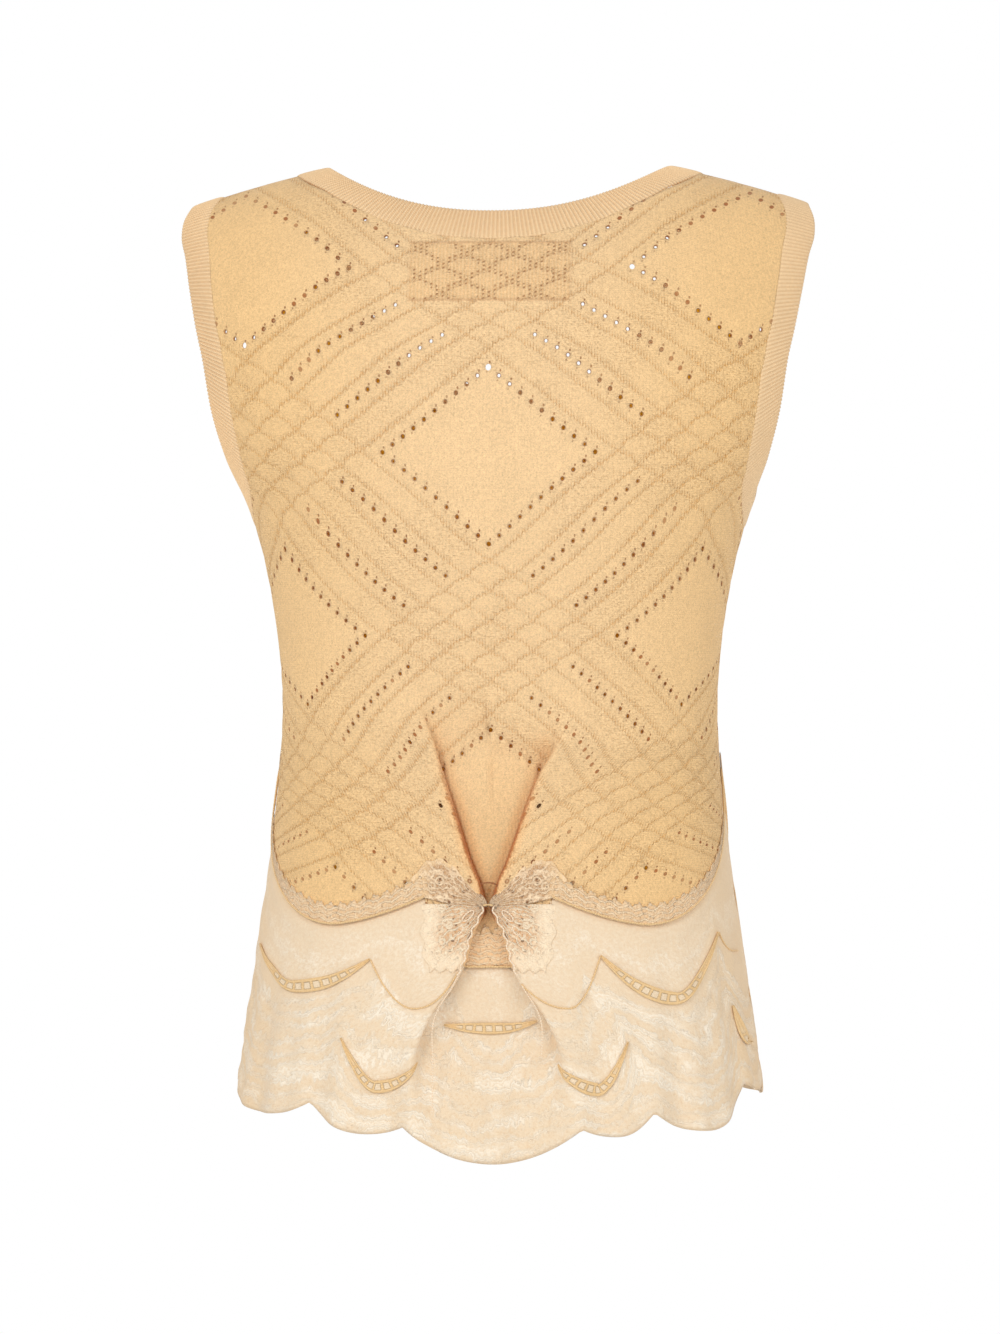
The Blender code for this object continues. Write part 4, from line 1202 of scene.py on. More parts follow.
def lace_look(start, colour, light, dark):
    """Lace: granular net with specks. Pale streaks and broad bands lie below each tier, petals above."""
    _, _, uv = uv_pair(start, "cloth")
    tier, part, _ = uv_pair(start, "tier")
    mottle = noise(uv, 42.0, 3.0)
    grain = noise(uv, 480.0, 4.0, 0.8)
    swirl = noise(uv, 85.0, 3.0)
    drift = noise(uv, 17.0, 2.0)
    rings = voronoi(uv, 210.0, 0.8)
    thread = voronoi(uv, 480.0, 0.9, "DISTANCE_TO_EDGE")
    place_in = tier + (part * 47.0).wave() * 0.03 + (swirl - 0.5) * 0.34
    place_in = place_in + (drift - 0.5) * 0.8 + (grain - 0.5) * 0.1
    streak = (place_in * 4.1).wave().rise(0.25, 0.90)
    fine = (place_in * 15.0 + swirl * 2.0).wave().rise(0.25, 0.8)
    below = (tier - 1.04).rise(0.0, 0.10)
    patches = (mottle + (swirl - 0.5) * 0.4).rise(0.40, 0.60)
    broad = (place_in * 2.05 + 0.15).wave().rise(0.40, 0.85) * (drift + (mottle - 0.5) * 0.8).rise(0.44, 0.58)
    broad = broad * (fine * 0.50 + 0.42) * (grain * 1.4 + 0.30)
    pale = (streak * (fine * 0.45 + 0.55) * (patches * 0.75 + 0.25)).most(broad) * below
    middle = 0.40 - abs(tier - 0.55) + (mottle - 0.5) * 0.9 + (grain - 0.5) * 0.5
    brushed = (place_in * 2.3 + swirl * 1.6).wave().rise(0.35, 0.9) * 0.6 + 0.4
    petals = (1.0 - below) * middle.rise(0.0, 0.45) * (grain * 1.3 - 0.10) * brushed
    pale = pale.most(petals)
    loops = (rings - 0.32).near(0.10) * (1.0 - patches) * (below * 0.4 + 0.6)
    net = 1.0 - thread.rise(0.02, 0.14)
    base = (grain.rise(0.38, 0.60) * 0.75 + net * 0.15 + 0.05).mix(shade(dark), shade(colour))
    base = (pale * (0.80 + grain * 0.4) + loops * 0.25).mix(base, shade(light))
    # painted shade towards the sides, where the lace turns away from the light, less over the pale streaks
    lace_side_shade = abs(part).rise(0.55, 1.0) * (0.85 - pale * 0.4)
    base = lace_side_shade.mix(base, shade(dark, 1.0, 0.89, 0.69))
    specks = (0.47 - grain).rise(0.0, 0.10) * (1.0 - pale) * (below * 0.20 + 0.10)
    base = specks.mix(base, shade(dark, 0.85, 0.72, 0.58))
    edge = (tier - 2.93).rise(0.0, 0.05)
    base = (edge * 0.35).mix(base, shade(dark, 0.9, 0.82, 0.72))
    base = ((1.0 - below) * (0.60 - grain).rise(0.0, 0.22) * 0.55).mix(base, shade(dark))
    height = net * 0.25 + streak * fine * below * 0.5 + grain * 0.9 + pale * 0.4 + loops * 0.5
    return base, height, 0.00028


def trim_look(start, pink, gold, light):
    """Hem trim: granular pinkish lace with wavy threads and small meshes, and gold at its lower edge."""
    along, across, uv = uv_pair(start, "cloth")
    part, _, _ = uv_pair(start, "edge")
    grain = noise(uv, 800.0, 3.0, 0.75)
    swirl = noise(uv, 200.0, 2.0)
    cells = voronoi(uv, 430.0, 0.9)
    thread = voronoi(uv, 330.0, 1.0, "DISTANCE_TO_EDGE")
    wave = along.wave(0.0105) * 0.0016 + (swirl - 0.5) * 0.0030
    lines = (across + wave).wave(0.0034).rise(0.55, 0.95)
    gold_edge = 1.0 - across.rise(0.0006, 0.0016)
    net = 1.0 - thread.rise(0.03, 0.16)
    tone = grain.rise(0.34, 0.64) * 0.5 + net * 0.25 + lines * 0.35
    lace = tone.mix(shade(pink, 0.84, 0.73, 0.58), shade(light))
    hole = (1.0 - cells.rise(0.14, 0.30)) * grain.rise(0.45, 0.60)
    base = (hole * 0.45).mix(lace, shade(gold, 0.62, 0.46, 0.30))
    base = (gold_edge * 0.7).mix(base, shade(gold))
    height = grain * 0.8 + net * 0.5 + lines * 0.9 - hole
    base = (part.rise(0.78, 1.0) * (1.0 - lines.most(net)) * 0.7).mix(base, shade(gold, 0.95))
    return base, height, 0.0006


def wing_look(start, pink, light, dark, ground):
    """Wing lace: threads fan out from the pinch, with curls and dark meshes, and pale into the ground."""
    _, _, uv = uv_pair(start, "cloth")
    fan, turn, _ = uv_pair(start, "fan")
    rim, _, _ = uv_pair(start, "rim")
    grain = noise(uv, 900.0, 3.0, 0.75)
    swirl = noise(uv, 240.0, 2.0)
    broad = noise(uv, 110.0, 2.0)
    cells = voronoi(uv, 340.0, 0.95)
    thread = voronoi(uv, 420.0, 1.0, "DISTANCE_TO_EDGE")
    curl = voronoi(uv, 165.0, 0.8)
    lines = (turn * 26.0 + (swirl - 0.5) * 1.3 + (broad - 0.5) * 2.4).wave().rise(0.40, 0.95)
    curls = (curl - 0.40).near(0.13) * fan.rise(0.25, 0.6)
    raised = lines.most(curls)
    net = 1.0 - thread.rise(0.04, 0.18)
    hole = (1.0 - cells.rise(0.20, 0.36)) * (broad + (grain - 0.5) * 0.3).rise(0.44, 0.56)
    hole = hole * (1.0 - raised * 0.7)
    tone = raised * 0.50 + grain.rise(0.36, 0.62) * 0.35 + net * 0.30
    base = tone.mix(shade(pink, 0.66, 0.48, 0.32), shade(light))
    base = (hole * 0.85).mix(base, shade(dark))
    base = (rim * (1.15 - raised * 0.6)).mix(base, shade(ground))
    height = (raised * 0.9 + net * 0.6 + grain * 0.6 - hole * 1.2) * (1.0 - rim * 0.6)
    return base, height, 0.0006


def cord_look(start, colour, dark):
    """Twisted cord: strands that wind round it, darker between them."""
    along, around, _ = uv_pair(start, "cloth")
    grain = noise(object_place(start), 900.0, 1.0)
    strand = (along / 0.0016 + around).wave()
    base = (strand * 0.7 + grain * 0.3).mix(shade(dark), shade(colour))
    return base, strand + grain * 0.2, 0.0002


def ladder_look(start, colour, dark, light):
    """Crescent: gold cords at both edges and a ladder of small pale meshes between them."""
    along, across, _ = uv_pair(start, "cloth")
    part, width, _ = uv_pair(start, "width")
    where = object_place(start)
    grain = noise(where, 900.0, 3.0)
    rung = ((along + (grain - 0.5) * 0.0018) / 0.0062).fraction() - 0.5
    room = width.rise(0.0028, 0.0050)
    hole = abs(rung).near(0.46).rise(0.10, 0.55) * abs(part).near(0.72).rise(0.10, 0.5) * room
    ribs = (across / 0.0013).wave()
    base = (grain.rise(0.3, 0.7) * 0.6 + ribs * 0.4).mix(shade(dark), shade(colour))
    rim = abs(rung).near(0.46).rise(0.02, 0.10) * abs(part).near(0.72).rise(0.02, 0.10) * room
    base = (rim * 0.35).mix(base, shade(dark, 0.80))
    base = (hole * (0.30 + grain * 0.45)).mix(base, shade(light))
    return base, grain * 0.4 + ribs * 0.4 - hole * 1.3, 0.0005


def tape_look(start, colour):
    """Bare woven tape."""
    place_on = object_place(start)
    split = place_on.node("ShaderNodeSeparateXYZ", {}, {"Vector": place_on})
    up = Fibre(start.tree, split.socket.node.outputs[2])
    weave = split.wave(0.0009) * 0.5 + up.wave(0.0009) * 0.5
    base = weave.mix(shade(colour, 0.88), shade(colour, 1.04))
    return base, weave, 0.0002


# ---- settings
class KnitTopSizes(bpy.types.PropertyGroup):
    """Sizes of the knit and of the trimmings."""

    wale: FloatProperty(
        name="Wale", description="Width of one column of stitches",
        default=0.0017, unit="LENGTH", precision=4)
    course: FloatProperty(
        name="Course", description="Height of one row of stitches",
        default=0.0013, unit="LENGTH", precision=4)
    rib: FloatProperty(
        name="Rib", description="Width of one rib of the bands", default=0.0024, unit="LENGTH", precision=4)
    eyelet_width: FloatProperty(
        name="Eyelet width", description="Half width of an eyelet",
        default=0.00068, unit="LENGTH", precision=5)
    eyelet_height: FloatProperty(
        name="Eyelet height", description="Half height of an eyelet",
        default=0.00085, unit="LENGTH", precision=5)
    cord: FloatProperty(
        name="Cord", description="Radius of the gold cords", default=0.00050, unit="LENGTH", precision=5)


class KnitTopColours(bpy.types.PropertyGroup):
    """Colours of the yarns and of the light."""

    knit: FloatVectorProperty(
        name="Knit", description="Yarn of both panels",
        default=linear((0.992, 0.853, 0.655)), subtype="COLOR")
    rib: FloatVectorProperty(
        name="Rib", description="Yarn of the bands", default=linear((0.962, 0.828, 0.648)), subtype="COLOR")
    lace: FloatVectorProperty(
        name="Lace", description="Ground of the lace", default=linear((0.942, 0.856, 0.735)), subtype="COLOR")
    lace_light: FloatVectorProperty(
        name="Lace streaks", description="Palest threads",
        default=linear((0.990, 0.934, 0.846)), subtype="COLOR")
    lace_dark: FloatVectorProperty(
        name="Lace shade", description="Between the threads",
        default=linear((0.926, 0.824, 0.690)), subtype="COLOR")
    trim: FloatVectorProperty(
        name="Trim", description="Pinkish lace", default=linear((0.965, 0.824, 0.664)), subtype="COLOR")
    gold: FloatVectorProperty(
        name="Gold", description="Cords and crescents",
        default=linear((0.955, 0.820, 0.615)), subtype="COLOR")
    gold_dark: FloatVectorProperty(
        name="Gold shade", description="Between strands",
        default=linear((0.895, 0.740, 0.520)), subtype="COLOR")
    lamp: FloatProperty(name="Lamps", description="Power of the key lamp", default=37.0, unit="POWER")
    sky: FloatProperty(name="Sky", description="Strength of the even light", default=0.60)


def sizes():
    """Size settings."""
    return bpy.context.scene.knit_top_sizes


def colours():
    """Colour settings."""
    return bpy.context.scene.knit_top_colours


def yarns(*names):
    """Colours of the settings by their names."""
    return [tuple(getattr(colours(), name)) for name in names]


def cord_material(name, *yarn_names):
    """Material of cords, made once."""
    return bpy.data.materials.get(name) or cloth_material(name, cord_look, yarns(*yarn_names), 0.6, 0.1)


def gold_cord():
    """Material of the gold cords."""
    return cord_material("gold_cord", "gold", "gold_dark")


# ---- pieces
class PieceOperator(bpy.types.Operator):
    """Base of the operators that make pieces."""

    bl_options = {"REGISTER", "UNDO"}


def rolled_edge(flat, level):
    """How far the outer layer rolls out beside the pleat: LIP * exp(-(distance beyond its turn) / fade)."""
    start, flat_run, _ = pleat_sizes(level, np.where(flat < 0, LEFT, RIGHT))
    beyond = np.abs(flat) - (start + TURN_LENGTH + flat_run)
    fading = np.exp((TURN_LENGTH - beyond) / LIP_FADE)
    fall = np.where(beyond < TURN_LENGTH, ease(beyond, 0.0, TURN_LENGTH), fading)
    return LIP * fall * ease(-level, 0.315, 0.360) * (1.0 - ease(-level, 0.424, 0.440))


def knit_panel(name, side, flat, level, creases, material):
    """Panel: body form plus pillows of the lattice and soft creases, with real eyelets."""
    flat, level, missing = punch(flat, level, side, (sizes().eyelet_width, sizes().eyelet_height))
    p, q = lattice(flat, level, side)
    arc = arc_of_flat(flat, level, side)
    if side == FRONT:
        missing[:, FRONT_STEPS] = True
    quiet = 1.0 - 0.75 * ease(level, *QUIET_LEVELS)
    lift = (pillows(p, q) - 0.5) * PILLOW * quiet + creased(arc, level, creases)
    if side == BACK:
        lift = lift + rolled_edge(flat, level)
    points = cloth(flat, level, side, lift)
    past = np.abs(arc) - fold_reach(level)
    closing = ease(-level, 0.330, 0.405) * (1.0 - 0.9 * ease(-level, 0.440, 0.450)) * (side == BACK)
    layers = {
        "cloth": pair(flat, down_cloth(level, side)),
        "lattice": pair(p, q),
        "fold": pair(past, closing),
    }
    piece = grid_piece(name, points, layers, material, missing=missing)
    return walled(merged(piece) if side == FRONT else piece, KNIT_WALL)


class KNITTOP_OT_back(PieceOperator):
    """Back panel with its lattice, eyelets and pinched pleat"""

    bl_idname = "knittop.back"
    bl_label = "Back panel"

    def execute(self, context):
        given = (*yarns("knit"), sizes().wale, sizes().course, True)
        material = cloth_material("knit_back", knit_look, given)
        piece = knit_panel("knit_back", BACK, *back_grid(), BACK_CREASES, material)
        place(piece, "knit_back", "back_panel")
        return {"FINISHED"}


class KNITTOP_OT_front(PieceOperator):
    """Front panel in the same knit, with a scoop neck"""

    bl_idname = "knittop.front"
    bl_label = "Front panel"

    def execute(self, context):
        given = (*yarns("knit"), sizes().wale, sizes().course, False)
        material = cloth_material("knit_front", knit_look, given)
        piece = knit_panel("knit_front", FRONT, *front_grid(), FRONT_CREASES, material)
        place(piece, "knit_front", "front_panel")
        return {"FINISHED"}


def even_turns(line, count):
    """Parts from 0 to 1 that divide the middle of a band evenly by length, and its length."""
    fine = np.linspace(0.0, 1.0, 4001)
    length = run_length(line(fine, 0.5)[0])
    return np.interp(np.linspace(0.0, length[-1], count), length, fine), length[-1]


def flattened(wave):
    """Signed power that squares off a sine: |wave|^0.55."""
    return np.sign(wave) * np.abs(wave) ** 0.55


def rib_band(name, line, width, material):
    """Closed rib band. line(part, inward) gives points and normals; ribs are cos waves along it.

    Its section is a flat loop: inward = 0.5 - 0.5 * cos(w)^0.55 and lift = T/2 * sin(w)^0.55, both signed.
    """
    _, length = even_turns(line, 2)
    ribs = int(round(length / sizes().rib))
    columns = ribs * RIB_COLUMNS
    part, _ = even_turns(line, columns + 1)
    angle = np.linspace(0.0, 2.0 * math.pi, BAND_SIDES, endpoint=False)
    inward = 0.5 - 0.5 * flattened(np.cos(angle))
    height = flattened(np.sin(angle))
    grid_in, grid_part = np.meshgrid(inward * (1.0 + SEAM_COVER / width), part[:-1], indexing="ij")
    points, normals = line(grid_part, grid_in)
    wave = np.cos(2.0 * math.pi * np.arange(columns) / RIB_COLUMNS)[None]
    lift = height[:, None] * (BAND_THICKNESS / 2 + RIB_HEIGHT * wave * np.abs(height[:, None]))
    rolled = (1.0 - inward[:, None]) ** 6 * 0.0002 * wave
    points = points + normals * (lift + rolled)[..., None]
    along = np.linspace(0.0, length, columns + 1)
    deep = np.concatenate([inward, inward[:1]]) * width
    uv = pair(along * (ribs * sizes().rib / length), deep[:, None])
    return grid_piece(name, points, {"cloth": uv}, material, closed=(True, True))


def round_opening(turn, back, front):
    """Points and normals of a line that runs over the back while turn is below 1, and then over the front."""
    behind = (turn < 1.0)[..., None]
    return tuple(np.where(behind, at(*back, BACK), at(*front, FRONT)) for at in (on_body, outward))


def neck_line(part, inward):
    """Round the neck: from the left shoulder over the back to the right one, and back over the front."""
    turn = part * 2.0
    sine = np.sin((np.clip(turn, 0.0, 1.0) - 0.5) * math.pi)
    arc, level = back_neck(np.abs(sine), inward)
    spin = (np.clip(turn, 1.0, 2.0) - 1.0) * math.pi
    front_arc, front_level = front_neck(np.abs(np.sin(spin)), inward)
    front = (front_arc * np.sign(np.cos(spin)), front_level)
    return round_opening(turn, (arc * np.sign(sine), level), front)


def arm_line(hand):
    """Round one armhole: up the back from the underarm to the shoulder, and down the front."""

    def line(part, inward):
        turn = part * 2.0
        back = armhole(np.clip(turn, 0.0, 1.0) * math.pi, BACK, inward)
        front = armhole(np.clip(2.0 - turn, 0.0, 1.0) * math.pi, FRONT, inward)
        points, normals = round_opening(turn, back, front)
        flip = np.array([float(hand), 1.0, 1.0])
        return points * flip, normals * flip

    return line


class KNITTOP_OT_bands(PieceOperator):
    """Rib bands of the neck and of both armholes"""

    bl_idname = "knittop.bands"
    bl_label = "Rib bands"

    def execute(self, context):
        given = (*yarns("rib"), sizes().rib)
        neck = rib_band("rib_neckband", neck_line, NECK_BAND, cloth_material("rib_neck", rib_look, given))
        place(neck, "rib_neck", "neckband")
        material = cloth_material("rib_arm", rib_look, given)
        for word, hand in (("left", LEFT), ("right", RIGHT)):
            band = rib_band(f"rib_armhole_{word}", arm_line(hand), ARM_BAND, material)
            place(band, "rib_arm", f"armhole_band_{word}")
        return {"FINISHED"}


def tiers(share, level, top, first, second, bottom):
    """Tier coordinate of the lace: 0 at the knit hem, 1 and 2 at its inner scallops, 3 at the free edge."""
    one, two = scallops(share, first), scallops(share, second)
    a = (top - level) / np.maximum(top - one, LEAST_TIER)
    b = 1.0 + (one - level) / np.maximum(one - two, LEAST_TIER)
    c = 2.0 + (two - level) / np.maximum(two - bottom, LEAST_TIER)
    return np.where(level > one, a, np.where(level > two, b, c))


def flare(arc, level, side):
    """Soft flutes of the lace, none at the sides.

    2.2 mm * depth^2 * sin(31 share + 1) + 1.2 mm * depth * sin(57 share), and depth runs from 0 to 1.
    """
    share = arc / quarter(level, side)
    depth = np.clip((FLUTES["top"] - level) / FLUTES["height"], 0.0, 1.2)
    calm = 1.0 - ease(np.abs(share), *FLUTES["calm"])
    return calm * (0.0022 * depth**2 * np.sin(share * 31.0 + 1.0) + 0.0012 * depth * np.sin(share * 57.0))


def lace_sheet(name, side, table, first, second, material):
    """Lace from just under the knit hem to the scalloped edge.

    Its relief is 0.35 mm * cos(2 pi tier) - 0.25 mm * cos(6 pi tier), and its top is tucked in.
    """
    if side == BACK:
        hem = back_grid()[1][-1]
        at = np.full(BACK_STEPS + 1, table[len(table) // 2][1])
        arcs = (np.abs(pleat(own_column(back_places(at, hand)) * hand, at)[0]) for hand in (LEFT, RIGHT))
        share = halves(*arcs, -1.0) / quarter(at[0], BACK)
        petal = np.abs(np.arange(len(hem)) - BACK_STEPS) < PLEAT_STEPS
        top = np.where(petal, HEM_CUSP["level"], hem)
    else:
        hem = front_grid()[1][-1][FRONT_STEPS + 1 :]
        hem = top = halves(hem, hem)
        share = np.linspace(-1.0, 1.0, len(top))
    bottom = scallops(share, table)
    part = np.linspace(0.0, 1.0, LACE_ROWS + 1)[:, None]
    level = (top + LACE_OVERLAP) + (bottom - top - LACE_OVERLAP) * part
    if side == BACK:
        left = own_column(back_places(level[:, BACK_STEPS::-1], LEFT))
        flat = halves(left, own_column(back_places(level[:, BACK_STEPS:], RIGHT)), -1.0)
    else:
        flat = share * quarter(level, FRONT)
    tier = tiers(share, level, top, first, second, bottom)
    tuck = 0.0014 * ease(level, hem - 0.004, hem + 0.001)
    ripple = 0.00035 * np.cos(2 * math.pi * tier) - 0.00025 * np.cos(6 * math.pi * tier)
    arc = arc_of_flat(flat, level, side)
    points = cloth(flat, level, side, ripple - tuck + flare(arc, level, side))
    layers = {"cloth": pair(flat, level), "tier": pair(tier, share)}
    return walled(grid_piece(name, points, layers, material), LACE_WALL)


class KNITTOP_OT_lace(PieceOperator):
    """Scalloped lace hem of the back and of the front"""

    bl_idname = "knittop.lace"
    bl_label = "Lace hem"

    def execute(self, context):
        material = cloth_material("lace", lace_look, yarns("lace", "lace_light", "lace_dark"), 0.8, 0.2)
        tables = (BACK_LACE_HEM, BACK_FIRST_TIER, BACK_SECOND_TIER)
        back = lace_sheet("lace_hem_back", BACK, *tables, material)
        place(back, "lace", "lace_back")
        tables = (FRONT_LACE_HEM, FRONT_FIRST_TIER, FRONT_SECOND_TIER)
        front = lace_sheet("lace_hem_front", FRONT, *tables, material)
        place(front, "lace", "lace_front")
        return {"FINISHED"}


def hem_line(side, hand, low, high, count):
    """Flat places and levels along a stretch of the knit hem between two columns of its grid."""
    flat, level = back_half(hand) if side == BACK else (grid[:, FRONT_STEPS + 1 :] for grid in front_grid())
    at = np.linspace(low, min(high, flat.shape[1] - 1), count)
    columns = np.arange(flat.shape[1])
    return np.interp(at, columns, flat[-1]) * hand, np.interp(at, columns, level[-1])


def hem_trim(name, flat, level, side, material, width=TRIM_WIDTH):
    """Lace strip on the last of the knit. Its upper edge is a sum of sine waves along the hem."""
    length = run_length(cloth(flat, level, side))
    up = np.linspace(0.0, 1.0, TRIM_ROWS)[:, None]
    wave = 1.0 + sum(height * np.sin(2 * math.pi * length / pitch) for height, pitch in TRIM_WAVES)
    rise_up = up * width * wave
    rows = level + rise_up - EDGE_STEP
    crown = TRIM_LIFT["crown"] * np.sin(math.pi * up) * np.ones_like(rows)
    lift = KNIT_WALL / 2 + TRIM_LIFT["flat"] + crown
    whole = quarter(rows, side)
    if side == BACK:
        whole = whole + hidden(rows, np.where(flat < 0, LEFT, RIGHT))
    points = cloth(np.clip(flat, -whole, whole), rows, side, lift)
    layers = {"cloth": pair(length, rise_up), "edge": pair(up, rows)}
    return walled(grid_piece(name, points, layers, material), TRIM_WALL)


def cord_on(name, flat, level, side, lift, radius, material):
    """Cord that lies on the cloth along flat places and levels."""
    arc = arc_of_flat(flat, level, side)
    path = cloth(flat, level, side, lift + flare(arc, level, side))
    return cord_piece(name, path, outward(arc, level, side), radius, material)


def trim_and_cord(word, flat, level, side, material, width=TRIM_WIDTH):
    """Trim along a stretch of the hem, and the gold cord on its lower edge."""
    trim = hem_trim(f"trim_{word}", flat, level, side, material, width)
    place(trim, "trim", f"hem_trim_{word}")
    level = level + EDGE_STEP
    cord = cord_on(f"hem_cord_{word}", flat, level, side, HEM_CORD_LIFT, sizes().cord, gold_cord())
    return trim, place(cord, "trim")


class KNITTOP_OT_trims(PieceOperator):
    """Pinkish lace trim and gold cord along the knit hem"""

    bl_idname = "knittop.trims"
    bl_label = "Hem trims"

    def execute(self, context):
        pink, gold = yarns("trim", "gold")
        light = linear((1.0, 0.895, 0.745))
        material = cloth_material("trim", trim_look, (pink, gold, light), 0.8, 0.2)
        # the strip inside the pleat lies in its shade, and this copy of the trim is painted lighter to make
        # up for that shade
        given = (shade(pink, 1.16), shade(gold, 1.12), light)
        lightened_trim = cloth_material("trim_petal", trim_look, given, 0.8, 0.2)
        for word, hand in (("left", LEFT), ("right", RIGHT)):
            flat, level = hem_line(BACK, hand, PLEAT_STEPS, BACK_STEPS, 260)
            trim, cord = trim_and_cord(word, flat, level, BACK, material)
        left, right = (hem_line(BACK, hand, 0, UNDER_STEPS - 3, 30) for hand in (LEFT, RIGHT))
        flat, level = map(halves, left, right)
        petal, cord = trim_and_cord("petal", flat, level, BACK, lightened_trim, PETAL_TRIM_WIDTH)
        flat, level = hem_line(FRONT, RIGHT, 0, FRONT_STEPS, 300)
        flat, level = halves(flat, flat, -1.0), halves(level, level)
        front, cord = trim_and_cord("front", flat, level, FRONT, material)
        return {"FINISHED"}


def scallop_curve(row, count):
    """x and level of one scallop: low + (end - low) * u^2 before its lowest point, and with u^2.2 after."""
    x0, z0, x1, z1, x2, z2 = row[:6]
    turn = np.linspace(0.0, math.pi, count)
    share = (1.0 - np.cos(turn)) / 2.0
    x = x0 + (x2 - x0) * share
    falling = np.clip((x1 - x) / (x1 - x0), 0.0, 1.0)
    rising = np.clip((x - x1) / (x2 - x1), 0.0, 1.0)
    return x, z1 + (z0 - z1) * falling**2.0 + (z2 - z1) * rising**2.2, share


def crescent(name, row, side, material, layer="outer"):
    """Crescent: a strip along a scalloped line, with raised cords at its edges.

    Its width is full * sin(pi * share)^0.8, and the cords rise by 0.8 mm * exp(-((|part| - 0.85) / 0.22)^2).
    """
    x, level, share = scallop_curve(row, 90)
    width = row[6] * np.sin(math.pi * np.clip(share, 0.0, 1.0)) ** 0.8 + 0.0006
    part = np.linspace(-1.0, 1.0, 9)[:, None]
    tangent = pair(np.gradient(x), np.gradient(level))
    tangent /= np.linalg.norm(tangent, axis=-1, keepdims=True)
    grid_x = x - tangent[:, 1] * (part + 1.0) / 2 * width
    grid_z = level + tangent[:, 0] * (part + 1.0) / 2 * width
    arc = arc_of_x(np.abs(grid_x), grid_z, side) * np.sign(grid_x)
    flat = arc if layer == "under" or side == FRONT else flat_at(grid_x, grid_z, side)
    ridge = 0.0008 * (np.exp(-(((np.abs(part) - 0.85) / 0.22) ** 2))) + 0.0001
    points = cloth(flat, grid_z, side, 0.0008 + ridge + flare(arc, grid_z, side))
    length = run_length(pair(x, level))
    layers = {"cloth": pair(length, part * width / 2), "width": pair(part, width)}
    return walled(grid_piece(name, points, layers, material), THIN_WALL)


def lace_cord(name, row, side, material):
    """Thin cord along one scallop of the lace."""
    x, level, _ = scallop_curve(row, 70)
    radius = sizes().cord * LACE_CORD["share"]
    return cord_on(name, flat_at(x, level, side), level, side, LACE_CORD["lift"], radius, material)


class KNITTOP_OT_crescents(PieceOperator):
    """Gold crescents and thin cords on the lace"""

    bl_idname = "knittop.crescents"
    bl_label = "Crescents and cords"

    def execute(self, context):
        material = cloth_material("ladder", ladder_look, yarns("gold", "gold_dark", "lace_light"), 0.7, 0.1)
        for name, make, rows, side, yarn in (
            ("crescents_back", crescent, CRESCENTS, BACK, material),
            ("crescents_front", crescent, FRONT_CRESCENTS, FRONT, material),
            ("lace_cords_back", lace_cord, LACE_CORDS, BACK, gold_cord()),
            ("lace_cords_front", lace_cord, FRONT_LACE_CORDS, FRONT, gold_cord()),
        ):
            made = [make(f"part{k}", row, side, yarn) for k, row in enumerate(rows)]
            if name == "crescents_back":
                made.append(crescent("part_centre", CENTRE_CRESCENT, BACK, material, "under"))
            place(joined(name, made), "trim")
        return {"FINISHED"}


def laid(arc, level, lift):
    """Points of the back at distances from the centre line, moved out by lift, and the normals there."""
    normals = outward(arc, level, BACK)
    return on_body(arc, level, BACK) + normals * np.asarray(lift)[..., None], normals


def wing_sheet(name, arc, level, hand, material, free, sunk):
    """Wing of lace on the back, over the edge of the pleat, crowned by 1.2 mm * sin * sin.

    free rises to 1 at its edges, and sunk does so within the last of it, where it comes down to the cloth.
    """
    rows, columns = arc.shape
    part = np.linspace(0.0, 1.0, rows)[:, None] * np.ones((1, columns))
    fan = np.linspace(0.0, 1.0, columns)[None] * np.ones((rows, 1))
    radius, turn = np.hypot(arc, level - WING_ROOT), np.arctan2(level - WING_ROOT, arc) / math.pi + 0.5
    crown = 0.0012 * np.sin(math.pi * part) * np.sin(math.pi * np.clip(fan * 0.9 + 0.1, 0, 1))
    folds = 0.0005 * np.sin(turn * 48.0) * np.clip(radius / 0.02, 0.0, 1.0) * (1.0 - free)
    lift = 0.0013 + crown * (1.0 - free) + folds - 0.0011 * sunk + flare(arc * hand, level, BACK)
    points, _ = laid(arc * hand, level, lift)
    layers = {"cloth": pair(arc, level), "fan": pair(radius / WING_FAN, turn), "rim": pair(free, part)}
    return walled(grid_piece(name, points, layers, material), THIN_WALL)


def loop_path(x, level, width, height, lean, count=40):
    """Closed oval loop on the back: centre + (w cos a, h sin a), turned by lean."""
    a = np.linspace(0.0, 2.0 * math.pi, count)
    dx, dz = width * np.cos(a), height * np.sin(a)
    cos, sin = math.cos(lean), math.sin(lean)
    return x + dx * cos - dz * sin, level + dx * sin + dz * cos


def wing_grid():
    """Shares of the way out along a wing and of the way down it."""
    return np.meshgrid(np.linspace(0.0, 1.0, 60), np.linspace(0.0, 1.0, 36))


def upper_wing():
    """Arc, level, free and sunk edges of an upper wing, arched by crown * sin(turn * out)."""
    (out, down), wing = wing_grid(), UPPER_WING
    arc = wing["start"] + (wing["end"] - wing["start"]) * out
    picot = 0.0009 * np.sin(out * 34.0) * (1.0 - down)
    foot = wing["foot"] + wing["lift"] * out**2
    tall = wing["top"] + wing["crown"] * np.sin(wing["turn"] * out) - foot
    tall = tall * np.sqrt(1.0 - 0.96 * out**7)
    off_root = ease(out, 0.15, 0.40)
    free = np.maximum(ease(out, 0.62, 1.0), ease(1.0 - down, 0.78, 1.0) * off_root)
    sunk = np.maximum(ease(out, 0.80, 1.0), ease(1.0 - down, 0.88, 1.0) * off_root)
    return arc, foot + (tall + picot) * (1.0 - down), free, sunk


